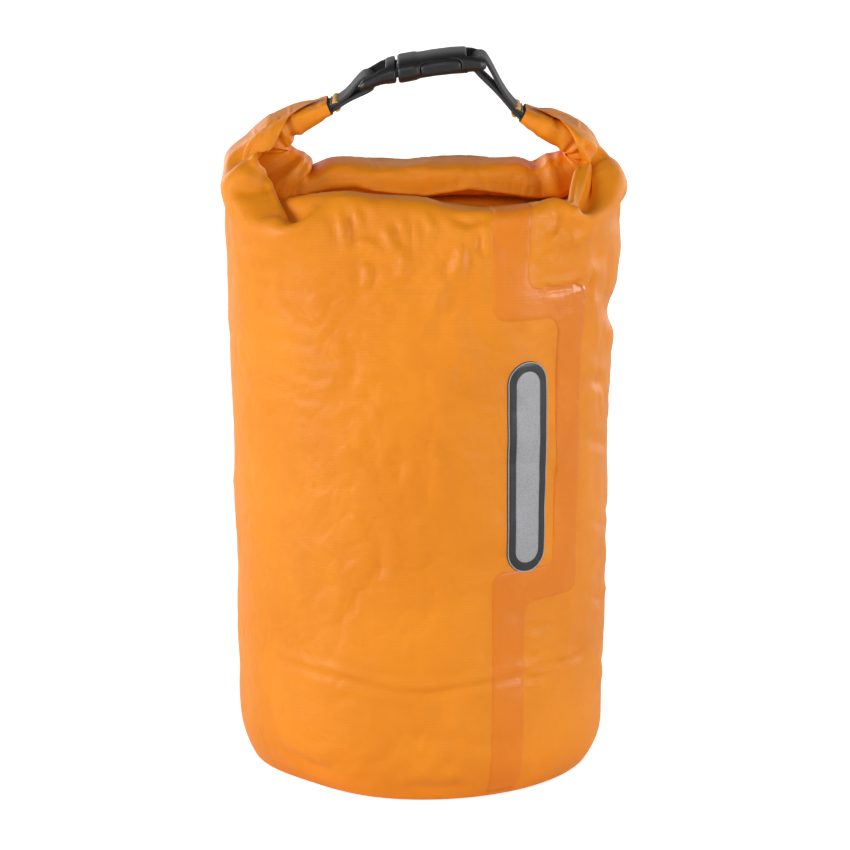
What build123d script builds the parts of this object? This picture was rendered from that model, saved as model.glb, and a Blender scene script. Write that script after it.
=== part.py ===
from build123d import *
import math
import os

# A roll-top dry bag standing on its base, filled, rolled shut and buckled into a carry loop.
# Millimetres. The origin is the centre of the flat base, on the ground.
# +Z is up, +X the bag's right and -Y its front.

# ---------------------------------------------------------------- dimensions
# fabric wall and base
fabric_t = 0.8
weld_gap = 0.05             # adhesive film between welded layers
base_t = 1.0
flange_h = 10.0             # height of the base's weld flange above the base panel
flange_gap = 0.45           # between the wall and the flange
# outer wall: (height, half width in X, half depth in Y)
wall_rows = [
    (1.05, 57.6, 56.6),
    (5.0, 60.0, 59.0),
    (12.0, 61.6, 60.6),
    (32.0, 62.6, 61.6),
    (70.0, 63.6, 62.4),
    (110.0, 64.4, 62.8),
    (145.0, 65.4, 62.0),
    (165.0, 66.2, 59.8),
    (178.0, 66.6, 56.6),
    (185.0, 66.2, 52.6),
    (189.5, 64.4, 46.4),
    (192.0, 61.0, 34.0),
    (193.2, 57.0, 18.0),
    (193.6, 52.0, 3.6),
]
turn_z, turn_h = 178.0, 12.0    # where the wall starts to turn over, and over what height

# side seam and label; azimuths run from the front towards +X
seam_t = 0.3
seam_w = 15.0
seam_azimuth = 38.0
seam_shift = 11.5           # sideways offset of the seam's runs from its azimuth
seam_bottom, seam_top = 3.0, 184.0
step_low, step_high = 66.0, 160.0   # mid heights of the two sideways steps
label_t = 0.5
label_len = 72.0
label_w = 14.6
label_z = 110.0
label_azimuth = 29.0
reflector_t = 0.23
reflector_gap = 0.02
skin_reach = 80.0           # outward reach of the outlines that trim the skins

# rolled closure
roll_w = 21.0               # front to back
roll_h = 9.0
roll_z = 198.6              # centre of the straight stretch
roll_half = 47.0            # half length of the straight stretch
collar_gap = 0.15           # between the straight stretch and each end
strip_w = 16.0
strip_t = 0.8
strip_clear = 0.12
# mid lines of the roll's ends, (x, z): each turns up and in to its webbing
left_line = [(-roll_half, roll_z), (-54.6, 204.2), (-51.5, 213.4), (-41.5, 219.3), (-30.3, 224.0)]
right_line = [(roll_half, roll_z), (54.5, 205.3), (53.4, 212.0), (45.2, 216.2), (33.7, 221.6)]
# cross sections at those points: (width, thickness)
roll_sizes = [(roll_w, roll_h), (roll_w, 8.4), (19.6, 7.4), (18.0, 6.2), (16.8, 4.8)]
# side gusset: (height, centre outwards from gusset_x, half width in X, half depth in Y)
gusset_x = 56.9
gusset_rows = [
    (193.9, 0.0, 9.6, 27.0),
    (201.0, 0.6, 6.6, 21.0),
    (208.0, -1.4, 4.2, 14.0),
    (213.5, -5.0, 3.0, 9.0),
]

# webbing
web_w = 15.0
web_t = 1.2
root_depth = 8.0            # length sewn into the roll's end
left_root, right_root = left_line[-1], right_line[-1]
left_angle = 24.0           # direction in which it leaves the roll, from +X towards +Z
right_angle = 147.0

# buckle: lengths along it are measured from the socket's mouth towards the socket
tilt = 5.5                  # long axis, from +X towards +Z
mouth_x, mouth_z = -7.5, 235.6
socket_len = 29.5
socket_w = 21.6
socket_t = 7.8
channel_w = 17.8
channel_t = 4.8
channel_len = 20.0
window_start, window_end = 5.5, 17.6
bar_t = 3.2
slot_len = 15.8             # webbing slot, across the buckle
slot_w = 3.4
plug_w = 21.0
plug_t = 6.8
plug_len = 12.2
tail_drop = 3.0             # how far the plug's bar drops below the mid plane
guide_w = 3.2
guide_t = 3.0
guide_len = 15.6
arm_t = 3.9
arm_pivot = (-0.4, 6.3)     # (along the buckle, off its centre line)
arm_root_r = 1.35


# ---------------------------------------------------------------- planes and directions
def direction(angle):
    """(x, z) of the unit vector at an angle from +X towards +Z."""
    return math.cos(math.radians(angle)), math.sin(math.radians(angle))


tilt_x, tilt_z = direction(tilt)


def along(run, rise):
    """(x, z) of a point run along the buckle from the mouth and rise above its mid plane."""
    return mouth_x + run * tilt_x - rise * tilt_z, mouth_z + run * tilt_z + rise * tilt_x


def buckle_plane(rise):
    """Plane rise above the buckle's mid plane: local x along the buckle, local y along +Y."""
    x, z = along(0, rise)
    return Plane(origin=(x, 0, z), x_dir=(tilt_x, 0, tilt_z), z_dir=(-tilt_z, 0, tilt_x))


def profile_plane(y):
    """Side view of the buckle, facing the front: local x along it, local y up from its middle."""
    return Plane(origin=(mouth_x, y, mouth_z), x_dir=(tilt_x, 0, tilt_z), z_dir=(0, -1, 0))


def section_plane(x, z, normal_x, normal_z):
    """Cross section of something that runs in the XZ plane: local x along +Y."""
    return Plane(origin=(x, 0, z), x_dir=(0, 1, 0), z_dir=(normal_x, 0, normal_z))


def facing(azimuth):
    """Vertical plane through the axis, facing the azimuth: local x to the viewer's right."""
    turn = math.radians(azimuth)
    return Plane(
        origin=(0, 0, 0),
        x_dir=(math.cos(turn), math.sin(turn), 0),
        z_dir=(math.sin(turn), -math.cos(turn), 0),
    )


# ---------------------------------------------------------------- wall and base
def wall_at(height):
    """Outer half widths of the wall at a height within its rows."""
    for (z0, x0, y0), (z1, x1, y1) in zip(wall_rows, wall_rows[1:]):
        if z0 <= height <= z1:
            part = (height - z0) / (z1 - z0)
            return x0 + (x1 - x0) * part, y0 + (y1 - y0) * part


def grown(rows, distance, lift=0.0):
    """Rows grown outwards, and raised by lift where the wall turns over at the top."""
    result = []
    for z, half_x, half_y in rows:
        share = max(0.0, min(1.0, (z - turn_z) / turn_h))
        result.append((z + lift * share, half_x + distance, half_y + distance))
    return result


def loft_ellipses(rows, mode=Mode.ADD):
    """Ruled loft through level ellipses, applied to the part being built."""
    sections = []
    for z, half_x, half_y in rows:
        with BuildSketch(Plane.XY.offset(z)) as section:
            Ellipse(half_x, half_y)
        sections.append(section.sketch.face())
    loft(sections, ruled=True, mode=mode)


def wall_skin(gap, thickness):
    """Skin of the given thickness, a gap outside the wall."""
    loft_ellipses(grown(wall_rows, gap + thickness))
    loft_ellipses(grown(wall_rows, gap), Mode.SUBTRACT)


def make_bag_wall():
    # the cavity opens through the bottom and, as a narrow slit, through the top
    cavity = grown(wall_rows, -fabric_t, lift=-fabric_t)
    _, half_x, half_y = cavity[0]
    cavity[0] = (0.5, half_x - 0.3, half_y - 0.3)
    z, half_x, _ = cavity[-1]
    cavity[-1] = (z, half_x, 2.6)
    cavity.append((196.0, 51.0, 2.4))
    with BuildPart() as wall:
        loft_ellipses(wall_rows)
        loft_ellipses(cavity, Mode.SUBTRACT)
    return wall.part


def make_base_panel():
    """Flat panel with an upstanding flange inside the wall."""
    _, base_x, base_y = wall_rows[0]
    flange_top = flange_h + base_t
    top_x, top_y = wall_at(flange_top)
    upper = [row for row in wall_rows[1:] if row[0] < flange_h] + [(flange_top, top_x, top_y)]
    flange = [(base_t - 0.2, base_x, base_y)] + upper
    cavity = [(base_t, base_x, base_y)] + upper + [(flange_top + 1, top_x, top_y)]
    outer_inset = fabric_t + flange_gap
    with BuildPart() as base:
        with BuildSketch():
            Ellipse(base_x, base_y)
        extrude(amount=base_t)
        loft_ellipses(grown(flange, -outer_inset))
        loft_ellipses(grown(cavity, -outer_inset - fabric_t), Mode.SUBTRACT)
    return base.part


# ---------------------------------------------------------------- side seam and label
def make_side_seam():
    """Overlap that runs straight, steps aside round the label and steps back."""
    half = seam_w / 2
    end_left, end_right = -seam_shift - half, -seam_shift + half
    mid_left, mid_right = seam_shift - half, seam_shift + half
    with BuildPart() as seam:
        wall_skin(weld_gap, seam_t)
        with BuildSketch(facing(seam_azimuth)):
            with BuildLine():
                FilletPolyline(
                    (end_left, seam_bottom), (end_left, step_low + half),
                    (mid_left, step_low + half), (mid_left, step_high - half),
                    (end_left, step_high - half), (end_left, seam_top),
                    (end_right, seam_top), (end_right, step_high + half),
                    (mid_right, step_high + half), (mid_right, step_low - half),
                    (end_right, step_low - half), (end_right, seam_bottom),
                    radius=4.0, close=True,
                )
            make_face()
        extrude(amount=skin_reach, mode=Mode.INTERSECT)
    return seam.part


def make_label_layer(gap, thickness, length, width):
    """Upright round-ended patch that follows the wall."""
    with BuildPart() as layer:
        wall_skin(gap, thickness)
        with BuildSketch(facing(label_azimuth)):
            with Locations((0.0, label_z)):
                SlotOverall(length, width, rotation=90)
        extrude(amount=skin_reach, mode=Mode.INTERSECT)
    return layer.part


# ---------------------------------------------------------------- rolled closure
# the stiffener follows the roll and stops short of the sewn webbing
with BuildLine(Plane.XZ) as strip_line:
    Spline(*left_line[-2:0:-1], (-40.0, roll_z), (40.0, roll_z), *right_line[1:-1])
strip_path = strip_line.line


def sweep_strip(clearance=0.0, mode=Mode.ADD):
    """The stiffener strip, grown by a clearance on every side of its section."""
    start_plane = Plane(origin=strip_path @ 0, x_dir=(0, 1, 0), z_dir=strip_path % 0)
    with BuildSketch(start_plane) as section:
        Rectangle(strip_w + 2 * clearance, strip_t + 2 * clearance)
    sweep(section.sketch, path=strip_path, mode=mode)


def make_stiffener_strip():
    with BuildPart() as strip:
        sweep_strip()
    return strip.part


def make_rolled_collar():
    with BuildPart() as collar:
        with BuildSketch(Plane.YZ.offset(-roll_half + collar_gap)):
            with Locations((0, roll_z)):
                RectangleRounded(roll_w, roll_h, 4.2)
        extrude(amount=2 * (roll_half - collar_gap))
        sweep_strip(strip_clear, Mode.SUBTRACT)
    return collar.part


def end_tangents(side, line, angle):
    """Unit tangents (x, z) at the points of a roll end's mid line."""
    steps = [(side, 0.12)]
    for (x0, z0), (x1, z1) in zip(line, line[2:]):
        steps.append((x1 - x0, z1 - z0))
    steps.append(direction(angle))
    return [(x / math.hypot(x, z), z / math.hypot(x, z)) for x, z in steps]


def loft_roll(side, line, angle):
    """The roll's end, from the straight stretch to the webbing."""
    sections = []
    for (x, z), tangent, (width, height) in zip(line, end_tangents(side, line, angle), roll_sizes):
        with BuildSketch(section_plane(x, z, *tangent)) as section:
            RectangleRounded(width, height, min(width, height) * 0.44)
        sections.append(section.sketch)
    loft(sections)


def loft_gusset(side):
    """Side gusset of the fabric, drawn up from the shoulder into the roll's end."""
    sections = []
    for z, outward, half_x, half_y in gusset_rows:
        with BuildSketch(Plane.XY.offset(z)) as section:
            with Locations((side * (gusset_x + outward), 0)):
                Ellipse(half_x, half_y)
        sections.append(section.sketch)
    loft(sections)


def make_roll_end(side, line, angle):
    """End of the roll on one side: -1 left, 1 right."""
    dir_x, dir_z = direction(angle)
    root_x, root_z = line[-1]
    depth = root_depth + 0.3
    slot_plane = section_plane(root_x - depth * dir_x, root_z - depth * dir_z, dir_x, dir_z)
    with BuildPart() as end:
        loft_roll(side, line, angle)
        loft_gusset(side)
        sweep_strip(strip_clear, Mode.SUBTRACT)
        # slot for the sewn webbing
        with BuildSketch(slot_plane):
            Rectangle(web_w + 0.4, 2 * web_t + 0.3)
        extrude(amount=depth + 4, mode=Mode.SUBTRACT)
        # trim whatever reaches inwards past the end of the straight stretch
        with BuildSketch(Plane.YZ.offset(side * roll_half)):
            with Locations((0, 200)):
                Rectangle(60, 30)
        extrude(amount=-side * 10, mode=Mode.SUBTRACT)
    return end.part


# ---------------------------------------------------------------- buckle
def make_buckle_socket():
    half_w = socket_w / 2
    overrun = 1.0           # the channel's cut starts this far outside the mouth
    recess, over = 2.1, 0.1     # depth of the bar's recesses, and the cut's start beyond the face
    with BuildPart() as socket:
        with BuildSketch(buckle_plane(-socket_t / 2)):
            with BuildLine():
                FilletPolyline(
                    (0, -half_w + 0.6), (0, half_w - 0.6), (4.6, half_w), (18.6, half_w),
                    (22.0, 9.9), (socket_len, 9.7), (socket_len, -9.7), (22.0, -9.9),
                    (18.6, -half_w), (4.6, -half_w),
                    radius=1.0, close=True,
                )
            make_face()
        extrude(amount=socket_t)
        broad_faces = socket.faces().filter_by(buckle_plane(0))
        fillet(broad_faces.edges(), radius=1.3)
        # channel for the plug, open at the mouth
        with BuildSketch(buckle_plane(-channel_t / 2)):
            with Locations(((channel_len - overrun) / 2, 0)):
                Rectangle(channel_len + overrun, channel_w)
        extrude(amount=channel_t, mode=Mode.SUBTRACT)
        # side windows that the latch arms snap out through
        with BuildSketch(buckle_plane(-channel_t / 2)):
            with Locations(((window_start + window_end) / 2, 0)):
                Rectangle(window_end - window_start, socket_w + 4)
        extrude(amount=channel_t, mode=Mode.SUBTRACT)
        # slot for the webbing, leaving the bar
        with BuildSketch(buckle_plane(-socket_t)):
            with Locations((socket_len - bar_t - 2.0, 0)):
                SlotOverall(slot_len, slot_w, rotation=90)
        extrude(amount=2 * socket_t, mode=Mode.SUBTRACT)
        # the bar is thinned on both faces so that the webbing sits flush
        for rise in (-socket_t / 2 - over, socket_t / 2 - recess):
            with BuildSketch(buckle_plane(rise)):
                with Locations((socket_len - bar_t / 2 - 0.2, 0)):
                    Rectangle(bar_t + 3.2, slot_len)
            extrude(amount=recess + over, mode=Mode.SUBTRACT)
    return socket.part


def make_buckle_plug():
    half_t = plug_t / 2
    face = -0.7             # the plug's face, just outside the socket's mouth
    cut_half = 12.0         # half height of the webbing slot's cut
    guide_root = 2.0        # length of the guide's sketch behind guide_len
    pocket_clear = 0.15     # above and below a latch arm
    with BuildPart() as plug:
        # side profile: the frame bends down towards its bar
        with BuildSketch(profile_plane(-plug_w / 2)):
            with BuildLine():
                FilletPolyline(
                    (face, half_t), (face, -half_t), (-5.0, -half_t - 0.7),
                    (-plug_len, -tail_drop - 2.2), (-plug_len - 0.5, -tail_drop + 1.2),
                    (-6.0, half_t - 1.2),
                    radius=0.8, close=True,
                )
            make_face()
        extrude(amount=-plug_w)
        # slot for the webbing
        with BuildSketch(buckle_plane(-cut_half)):
            with Locations((-plug_len + bar_t + 1.5, 0)):
                SlotOverall(slot_len, slot_w, rotation=90)
        extrude(amount=2 * cut_half, mode=Mode.SUBTRACT)
        # the bar is thinned from above so that the webbing sits flush
        with BuildSketch(profile_plane(-slot_len / 2)):
            with BuildLine():
                Polyline((-14.5, -1.5), (-8.6, -0.7), (-8.6, 4.0), (-14.5, 4.0), close=True)
            make_face()
        extrude(amount=-slot_len, mode=Mode.SUBTRACT)
        # central guide
        with BuildSketch(buckle_plane(-guide_t / 2)):
            with Locations(((guide_len - guide_root) / 2, 0)):
                Rectangle(guide_len + guide_root, guide_w)
        extrude(amount=guide_t)
        # pockets in the face that the two arms spring from
        with BuildSketch(buckle_plane(-arm_t / 2 - pocket_clear)):
            for side in (-1, 1):
                with Locations((arm_pivot[0], side * arm_pivot[1])):
                    Circle(arm_root_r + 0.1)
        extrude(amount=arm_t + 2 * pocket_clear, mode=Mode.SUBTRACT)
    return plug.part


def make_latch_arm(side):
    """Arm with a round root that swells into a press pad and catch: side -1 front, 1 rear."""
    root_u, root_off = arm_pivot
    # (along the buckle, off its centre line)
    outline = [
        (root_u, root_off - 0.9), (6.6, 5.4), (15.0, 5.2), (17.2, 6.2), (17.3, 7.4), (15.6, 8.9),
        (13.4, 10.0), (10.4, 10.5), (7.6, 10.1), (6.2, 9.5), (6.2, 7.5), (root_u, root_off + 0.9),
    ]
    points = [(run, side * off) for run, off in outline]
    with BuildSketch(buckle_plane(-arm_t / 2)) as section:
        with Locations((root_u, side * root_off)):
            Circle(arm_root_r)
        with BuildLine():
            Polyline(*points, close=True)
        make_face()
    with BuildPart() as arm:
        extrude(section.sketch, amount=arm_t)
    return arm.part


# ---------------------------------------------------------------- webbing and stitching
socket_bar = along(socket_len - bar_t / 2 - 0.1, 0)
plug_bar = along(-plug_len + bar_t / 2 - 0.3, -tail_drop + 0.1)


def make_webbing(root, angle, bar, bar_r, join_run, split):
    """Webbing folded round a bar and sewn to itself; two layers run into the roll's end.

    The layers join join_run beyond the root; the eye round the bar tapers to a point
    that lies the fraction split of the way from there to the bar.
    """
    dir_x, dir_z = direction(angle)
    join = (root[0] + join_run * dir_x, root[1] + join_run * dir_z)
    tail_mid = (join_run - root_depth) / 2
    with BuildPart() as web:
        with BuildSketch(Plane.XZ):
            with Locations(bar):
                Circle(bar_r + web_t)
            with Locations(join):
                Circle(web_t)
            make_hull()
            with Locations((root[0] + tail_mid * dir_x, root[1] + tail_mid * dir_z)):
                Rectangle(join_run + root_depth, 2 * web_t, rotation=angle)
        extrude(amount=web_w / 2, both=True)
        with BuildSketch(Plane.XZ):
            with Locations(bar):
                Circle(bar_r)
            with Locations((
                join[0] + split * (bar[0] - join[0]),
                join[1] + split * (bar[1] - join[1]),
            )):
                Circle(0.12)
            make_hull()
        extrude(amount=web_w / 2 + 1, both=True, mode=Mode.SUBTRACT)
    return web.part


# bar tack stitches lie down the webbing, root stitches across it
bar_tack = dict(count=14, pitch=0.62, length=1.7, width=0.42, rotation=0)
root_stitch = dict(count=6, pitch=2.3, length=1.5, width=0.38, rotation=90)


def make_stitches(root, angle, run, count, pitch, length, width, rotation):
    """Row of thread stitches across both faces of the webbing, run beyond the root."""
    dir_x, dir_z = direction(angle)
    lift = web_t + 0.2
    with BuildPart() as row:
        for side in (-1, 1):
            origin = (
                root[0] + run * dir_x - side * lift * dir_z,
                0,
                root[1] + run * dir_z + side * lift * dir_x,
            )
            normal = (-side * dir_z, 0, side * dir_x)
            with BuildSketch(Plane(origin=origin, x_dir=(dir_x, 0, dir_z), z_dir=normal)):
                with GridLocations(0, pitch, 1, count):
                    SlotOverall(length, width, rotation=rotation)
            extrude(amount=0.14, both=True)
    return row.part


# ---------------------------------------------------------------- export
pieces = {
    "bag_wall": make_bag_wall(),
    "base_panel": make_base_panel(),
    "side_seam_overlap": make_side_seam(),
    "label_patch": make_label_layer(weld_gap, label_t, label_len, label_w),
    "label_reflector": make_label_layer(
        weld_gap + label_t + reflector_gap, reflector_t, label_len - 11.0, label_w - 6.0
    ),
    "stiffener_strip": make_stiffener_strip(),
    "rolled_collar": make_rolled_collar(),
    "left_roll_end": make_roll_end(-1, left_line, left_angle),
    "right_roll_end": make_roll_end(1, right_line, right_angle),
    "buckle_socket": make_buckle_socket(),
    "buckle_plug": make_buckle_plug(),
    "latch_arm_front": make_latch_arm(-1),
    "latch_arm_rear": make_latch_arm(1),
    "left_webbing": make_webbing(
        left_root, left_angle, plug_bar, bar_r=3.0, join_run=4.2, split=0.24
    ),
    "right_webbing": make_webbing(
        right_root, right_angle, socket_bar, bar_r=3.05, join_run=3.4, split=0.3
    ),
    "left_bar_tack": make_stitches(left_root, left_angle, run=2.6, **bar_tack),
    "right_bar_tack": make_stitches(right_root, right_angle, run=2.4, **bar_tack),
    "left_root_stitching": make_stitches(left_root, left_angle, run=0.9, **root_stitch),
    "right_root_stitching": make_stitches(right_root, right_angle, run=0.8, **root_stitch),
}

os.makedirs("parts", exist_ok=True)
for name, part in pieces.items():
    part.label = name
    export_step(part, f"parts/{name}.step")
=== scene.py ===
import math
from types import SimpleNamespace

import bmesh
import bpy
import numpy as np
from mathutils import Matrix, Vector
from mathutils.geometry import delaunay_2d_cdt


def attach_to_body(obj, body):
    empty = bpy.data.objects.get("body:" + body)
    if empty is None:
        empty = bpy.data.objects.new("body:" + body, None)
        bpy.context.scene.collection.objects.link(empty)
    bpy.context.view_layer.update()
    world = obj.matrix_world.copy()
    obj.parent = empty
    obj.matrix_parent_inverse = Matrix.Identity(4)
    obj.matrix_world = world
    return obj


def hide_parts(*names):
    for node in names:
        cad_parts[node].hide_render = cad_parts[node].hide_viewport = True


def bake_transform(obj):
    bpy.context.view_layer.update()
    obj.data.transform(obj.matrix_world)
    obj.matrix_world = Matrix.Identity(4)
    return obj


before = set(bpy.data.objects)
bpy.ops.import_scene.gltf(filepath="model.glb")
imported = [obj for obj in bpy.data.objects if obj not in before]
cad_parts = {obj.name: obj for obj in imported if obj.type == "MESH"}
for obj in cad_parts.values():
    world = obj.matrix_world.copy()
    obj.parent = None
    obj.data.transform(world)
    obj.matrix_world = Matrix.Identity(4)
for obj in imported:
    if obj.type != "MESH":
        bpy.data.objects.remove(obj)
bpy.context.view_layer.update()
MM = 0.001
TINY = 1e-9              # keeps divisions away from zero

# ============================ 1. The line of the roll ============================
ROOT_LEFT, ROOT_RIGHT = (-30.3, 224.0), (33.7, 221.6)    # where the webbing leaves the roll
# (x, z) from the left root, down and along the straight stretch, up to the right root
ROLL_POINTS = [
    ROOT_LEFT, (-41.5, 219.3), (-51.5, 213.4), (-54.6, 204.2), (-47.0, 198.6),
    (-30.0, 198.4), (0.0, 198.6), (30.0, 198.4),
    (47.0, 198.6), (54.5, 205.3), (53.4, 212.0), (45.2, 216.2), ROOT_RIGHT,
]
# section of the roll by share of the way from its middle to either end
ROLL_SHARE = [0, 0.53, 0.68, 0.8, 0.9, 1.0]
ROLL_HALF = [4.6, 4.6, 4.3, 3.8, 3.2, 2.5]               # half thickness
ROLL_WIDTH = [21.5, 21.5, 20.5, 19.3, 17.8, 16.4]        # width along Y
SPLIT_Z = 203.5          # above this height the fabric follows the ends of the roll


def running_length(points):
    return np.r_[0, np.cumsum(np.linalg.norm(np.diff(points, axis=0), axis=1))]


def unit(vectors):
    return vectors / np.linalg.norm(vectors, axis=1)[:, None]


def spline(points, count):
    """Natural cubic through the points by chord length: even samples, and its length."""
    points = np.array(points, float)
    chord = running_length(points)
    n, gap = len(chord), np.diff(chord)
    system = np.zeros((n, n))
    system[0, 0] = system[-1, -1] = 1
    for i in range(1, n - 1):
        system[i, i - 1:i + 2] = gap[i - 1], 2 * (gap[i - 1] + gap[i]), gap[i]
    where = np.linspace(0, chord[-1], 4000)
    k = np.clip(np.searchsorted(chord, where, side="right") - 1, 0, n - 2)
    ahead, behind, span = chord[k + 1] - where, where - chord[k], gap[k]
    fine = np.zeros((len(where), points.shape[1]))
    for axis in range(points.shape[1]):
        p = points[:, axis]
        right = np.zeros(n)
        right[1:-1] = 6 * np.diff(np.diff(p) / gap)
        m = np.linalg.solve(system, right)
        fine[:, axis] = (
            (m[k] * ahead**3 + m[k + 1] * behind**3) / (6 * span)
            + (p[k] / span - m[k] * span / 6) * ahead
            + (p[k + 1] / span - m[k + 1] * span / 6) * behind)
    length = running_length(fine)
    want = np.linspace(0, length[-1], count)
    even = [np.interp(want, length, fine[:, axis]) for axis in range(points.shape[1])]
    return np.stack(even, 1), length[-1]


def roll_line(count=401):
    """Stations of the roll; outward is below the straight stretch, outside the ends."""
    mid, length = spline(ROLL_POINTS, count)
    tangent = unit(np.gradient(mid, axis=0))
    share = np.linspace(-1, 1, count)
    return SimpleNamespace(
        mid=mid, tangent=tangent, length=length, share=share,
        outward=np.stack([tangent[:, 1], -tangent[:, 0]], 1),
        half=np.interp(np.abs(share), ROLL_SHARE, ROLL_HALF),
        width=np.interp(np.abs(share), ROLL_SHARE, ROLL_WIDTH))


def beside(line, points):
    """Each point's nearest station, and its offset from there along and outwards."""
    mid = line.mid
    squared = ((points[:, None, 0] - mid[None, :, 0]) ** 2
               + (points[:, None, 2] - mid[None, :, 1]) ** 2)
    near = np.argmin(squared, 1)
    offset = np.stack([points[:, 0] - mid[near, 0], points[:, 2] - mid[near, 1]], 1)
    along = (offset * line.tangent[near]).sum(1)
    return near, along, (offset * line.outward[near]).sum(1)


# ============================ 2. Cloth simulation ============================
# One closed sheet on a grid, solved as particles held at their rest distances, blown out by
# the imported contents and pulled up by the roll. Its first axis runs round the bag, its
# second up from the lower edge.
CIRC, HEIGHT = 396.0, 248.0
BASE_R = 57.6
DAMPING = 0.9
EVERY = slice(None)

# Places the sheet is drawn to: angle from the front centre (degrees, + towards +X), distance
# up the sheet, target, radius of the pull, strength
GUIDES = [
    (-90, 208.5, (-65.6, 0.0, 207.0), 4.5, 0.6), (90, 204.0, (68.6, 0.0, 200.0), 4.5, 0.6),
    (-66, 228, (-53.1, -13.5, 210.0), 3.5, 0.5), (-60, 219, (-50.6, -21.0, 205.9), 3.5, 0.5),
    (-53, 211, (-48.1, -29.0, 201.6), 3.5, 0.5), (-47, 205, (-45.5, -38.0, 197.9), 3.5, 0.5),
    (68, 230, (53.4, -13.5, 212.5), 3.5, 0.5), (62, 221, (54.3, -20.0, 206.7), 3.5, 0.5),
    (57, 213, (52.4, -28.0, 200.7), 3.5, 0.5), (52, 207, (50.4, -36.0, 197.6), 4.5, 0.4),
    (41, 203, (44.0, -43.5, 201.0), 5.0, 0.5), (31, 202.5, (33.5, -46.5, 199.8), 5.0, 0.4),
    (78, 190, (64.8, -14.0, 187.0), 8.0, 0.3), (64, 182, (58.3, -28.6, 180.0), 8.0, 0.3),
    (90, 182, (66.6, 0.0, 179.0), 7.0, 0.3), (90, 172, (66.0, 0.0, 168.5), 7.0, 0.3),
]
# height of the front rim of the contents across x
RIM_X = [-62, -42.4, -32.7, -21.3, -14.9, 1.4, 9.5, 21.5, 35.4, 46.7, 52, 64]
RIM_Z = [203.0, 204.6, 204.4, 203.7, 202.3, 201.4, 199.4, 197.4, 199.8, 200.8, 201.5, 198.0]
# left and right limits of x by height
SIDE_Z = [30, 60, 100, 134, 158, 176, 190, 200, 208]
SIDE_L = [-63.0, -63.4, -63.0, -63.9, -64.2, -64.7, -65.2, -65.5, -65.8]
SIDE_R = [62.0, 62.8, 63.6, 64.2, 65.9, 66.7, 67.9, 68.7, 66.5]
# upper limit of z across x, outside the turned-up ends
ROOF_X = [-70, -67.4, -66.0, -53, -40, -31, -29, 33, 35, 40, 46.3, 50.7, 58, 64, 68.8, 70.5]
ROOF_Z = [192, 199, 207.2, 217.6, 224.4, 228.0, 240, 240, 227.2, 224.6, 221.4, 218.8,
          213.4, 207.6, 200.0, 192]
CONTENTS = SimpleNamespace(half_x=61.0, half_y=50.0, rim=6.5, top=191.0, rear_rim=194.0)


class Sheet:
    """Rest sizes of the sheet at one resolution, and its upper edge on the roll."""
    def __init__(self, columns, rows):
        self.columns, self.rows = columns, rows
        self.angle = angle = np.arange(columns) / columns * 2 * math.pi - math.pi
        self.v = np.linspace(0, HEIGHT, rows)
        self.du, self.dv = CIRC / columns, HEIGHT / (rows - 1)
        line = roll_line()
        edge = line.mid + line.outward * (line.half + 0.35)[:, None]
        length = running_length(edge)
        front = np.abs(angle) <= math.pi / 2
        share = np.where(front, angle / (math.pi / 2),
                         np.sign(angle) * (2 - np.abs(angle) / (math.pi / 2)))
        want = (share + 1) / 2 * length[-1]
        self.top = np.stack([np.interp(want, length, edge[:, 0]), np.where(front, -0.5, 0.5),
                             np.interp(want, length, edge[:, 1])], 1)
        self.top[np.isclose(np.abs(share), 1.0), 1] = 0
        # the base weld draws the lower edge in; the sides need a little less height
        self.hoop = self.du * np.interp(self.v, [0, 6, 14, 40, 80, 150, 248],
                                        [0.915, 0.955, 0.972, 0.978, 0.988, 1.0, 1.0])
        side = (np.exp(-(((angle + math.pi / 2) / 0.55) ** 2)) * 0.014
                + np.exp(-(((angle - math.pi / 2) / 0.55) ** 2)) * 0.007)
        self.rise = self.dv * (1 - side)

    def start(self):
        """A cylinder whose upper part blends into the line of the roll."""
        share = self.v / HEIGHT
        blend = np.clip((share - 0.76) / 0.24, 0, 1)
        blend = blend * blend * (3 - 2 * blend)
        radius = BASE_R + 4.5 * np.clip(share / 0.06, 0, 1)
        can = np.zeros((self.columns, self.rows, 3))
        can[..., 0] = np.sin(self.angle)[:, None] * radius
        can[..., 1] = -np.cos(self.angle)[:, None] * radius
        can[..., 2] = np.interp(share, [0, 0.8, 1.0], [0.6, 195, 203])
        return can * (1 - blend)[None, :, None] + self.top[:, None, :] * blend[None, :, None]


def resample(grid, columns, rows):
    """Cubic resample of a grid that is closed in its first axis."""
    def along(a, t, axis, closed):
        n = a.shape[axis]
        i = np.floor(t).astype(int)
        shape = [1] * a.ndim
        shape[axis] = len(t)
        f = (t - i).reshape(shape)
        index = [(i + k) % n if closed else np.clip(i + k, 0, n - 1) for k in (-1, 0, 1, 2)]
        p = [np.take(a, j, axis=axis) for j in index]
        return p[1] + 0.5 * f * (p[2] - p[0] + f * (
            2 * p[0] - 5 * p[1] + 4 * p[2] - p[3] + f * (3 * (p[1] - p[2]) + p[3] - p[0])))

    wide = along(grid, np.arange(columns) * grid.shape[0] / columns, 0, True)
    return along(wide, np.linspace(0, grid.shape[1] - 1, rows), 1, False)


def grid_normals(x):
    du = np.roll(x, -1, 0) - np.roll(x, 1, 0)
    dv = np.empty_like(x)
    dv[:, 1:-1] = x[:, 2:] - x[:, :-2]
    dv[:, 0] = x[:, 1] - x[:, 0]
    dv[:, -1] = x[:, -1] - x[:, -2]
    n = np.cross(du, dv)
    return n / (np.linalg.norm(n, axis=2)[..., None] + TINY)


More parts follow.
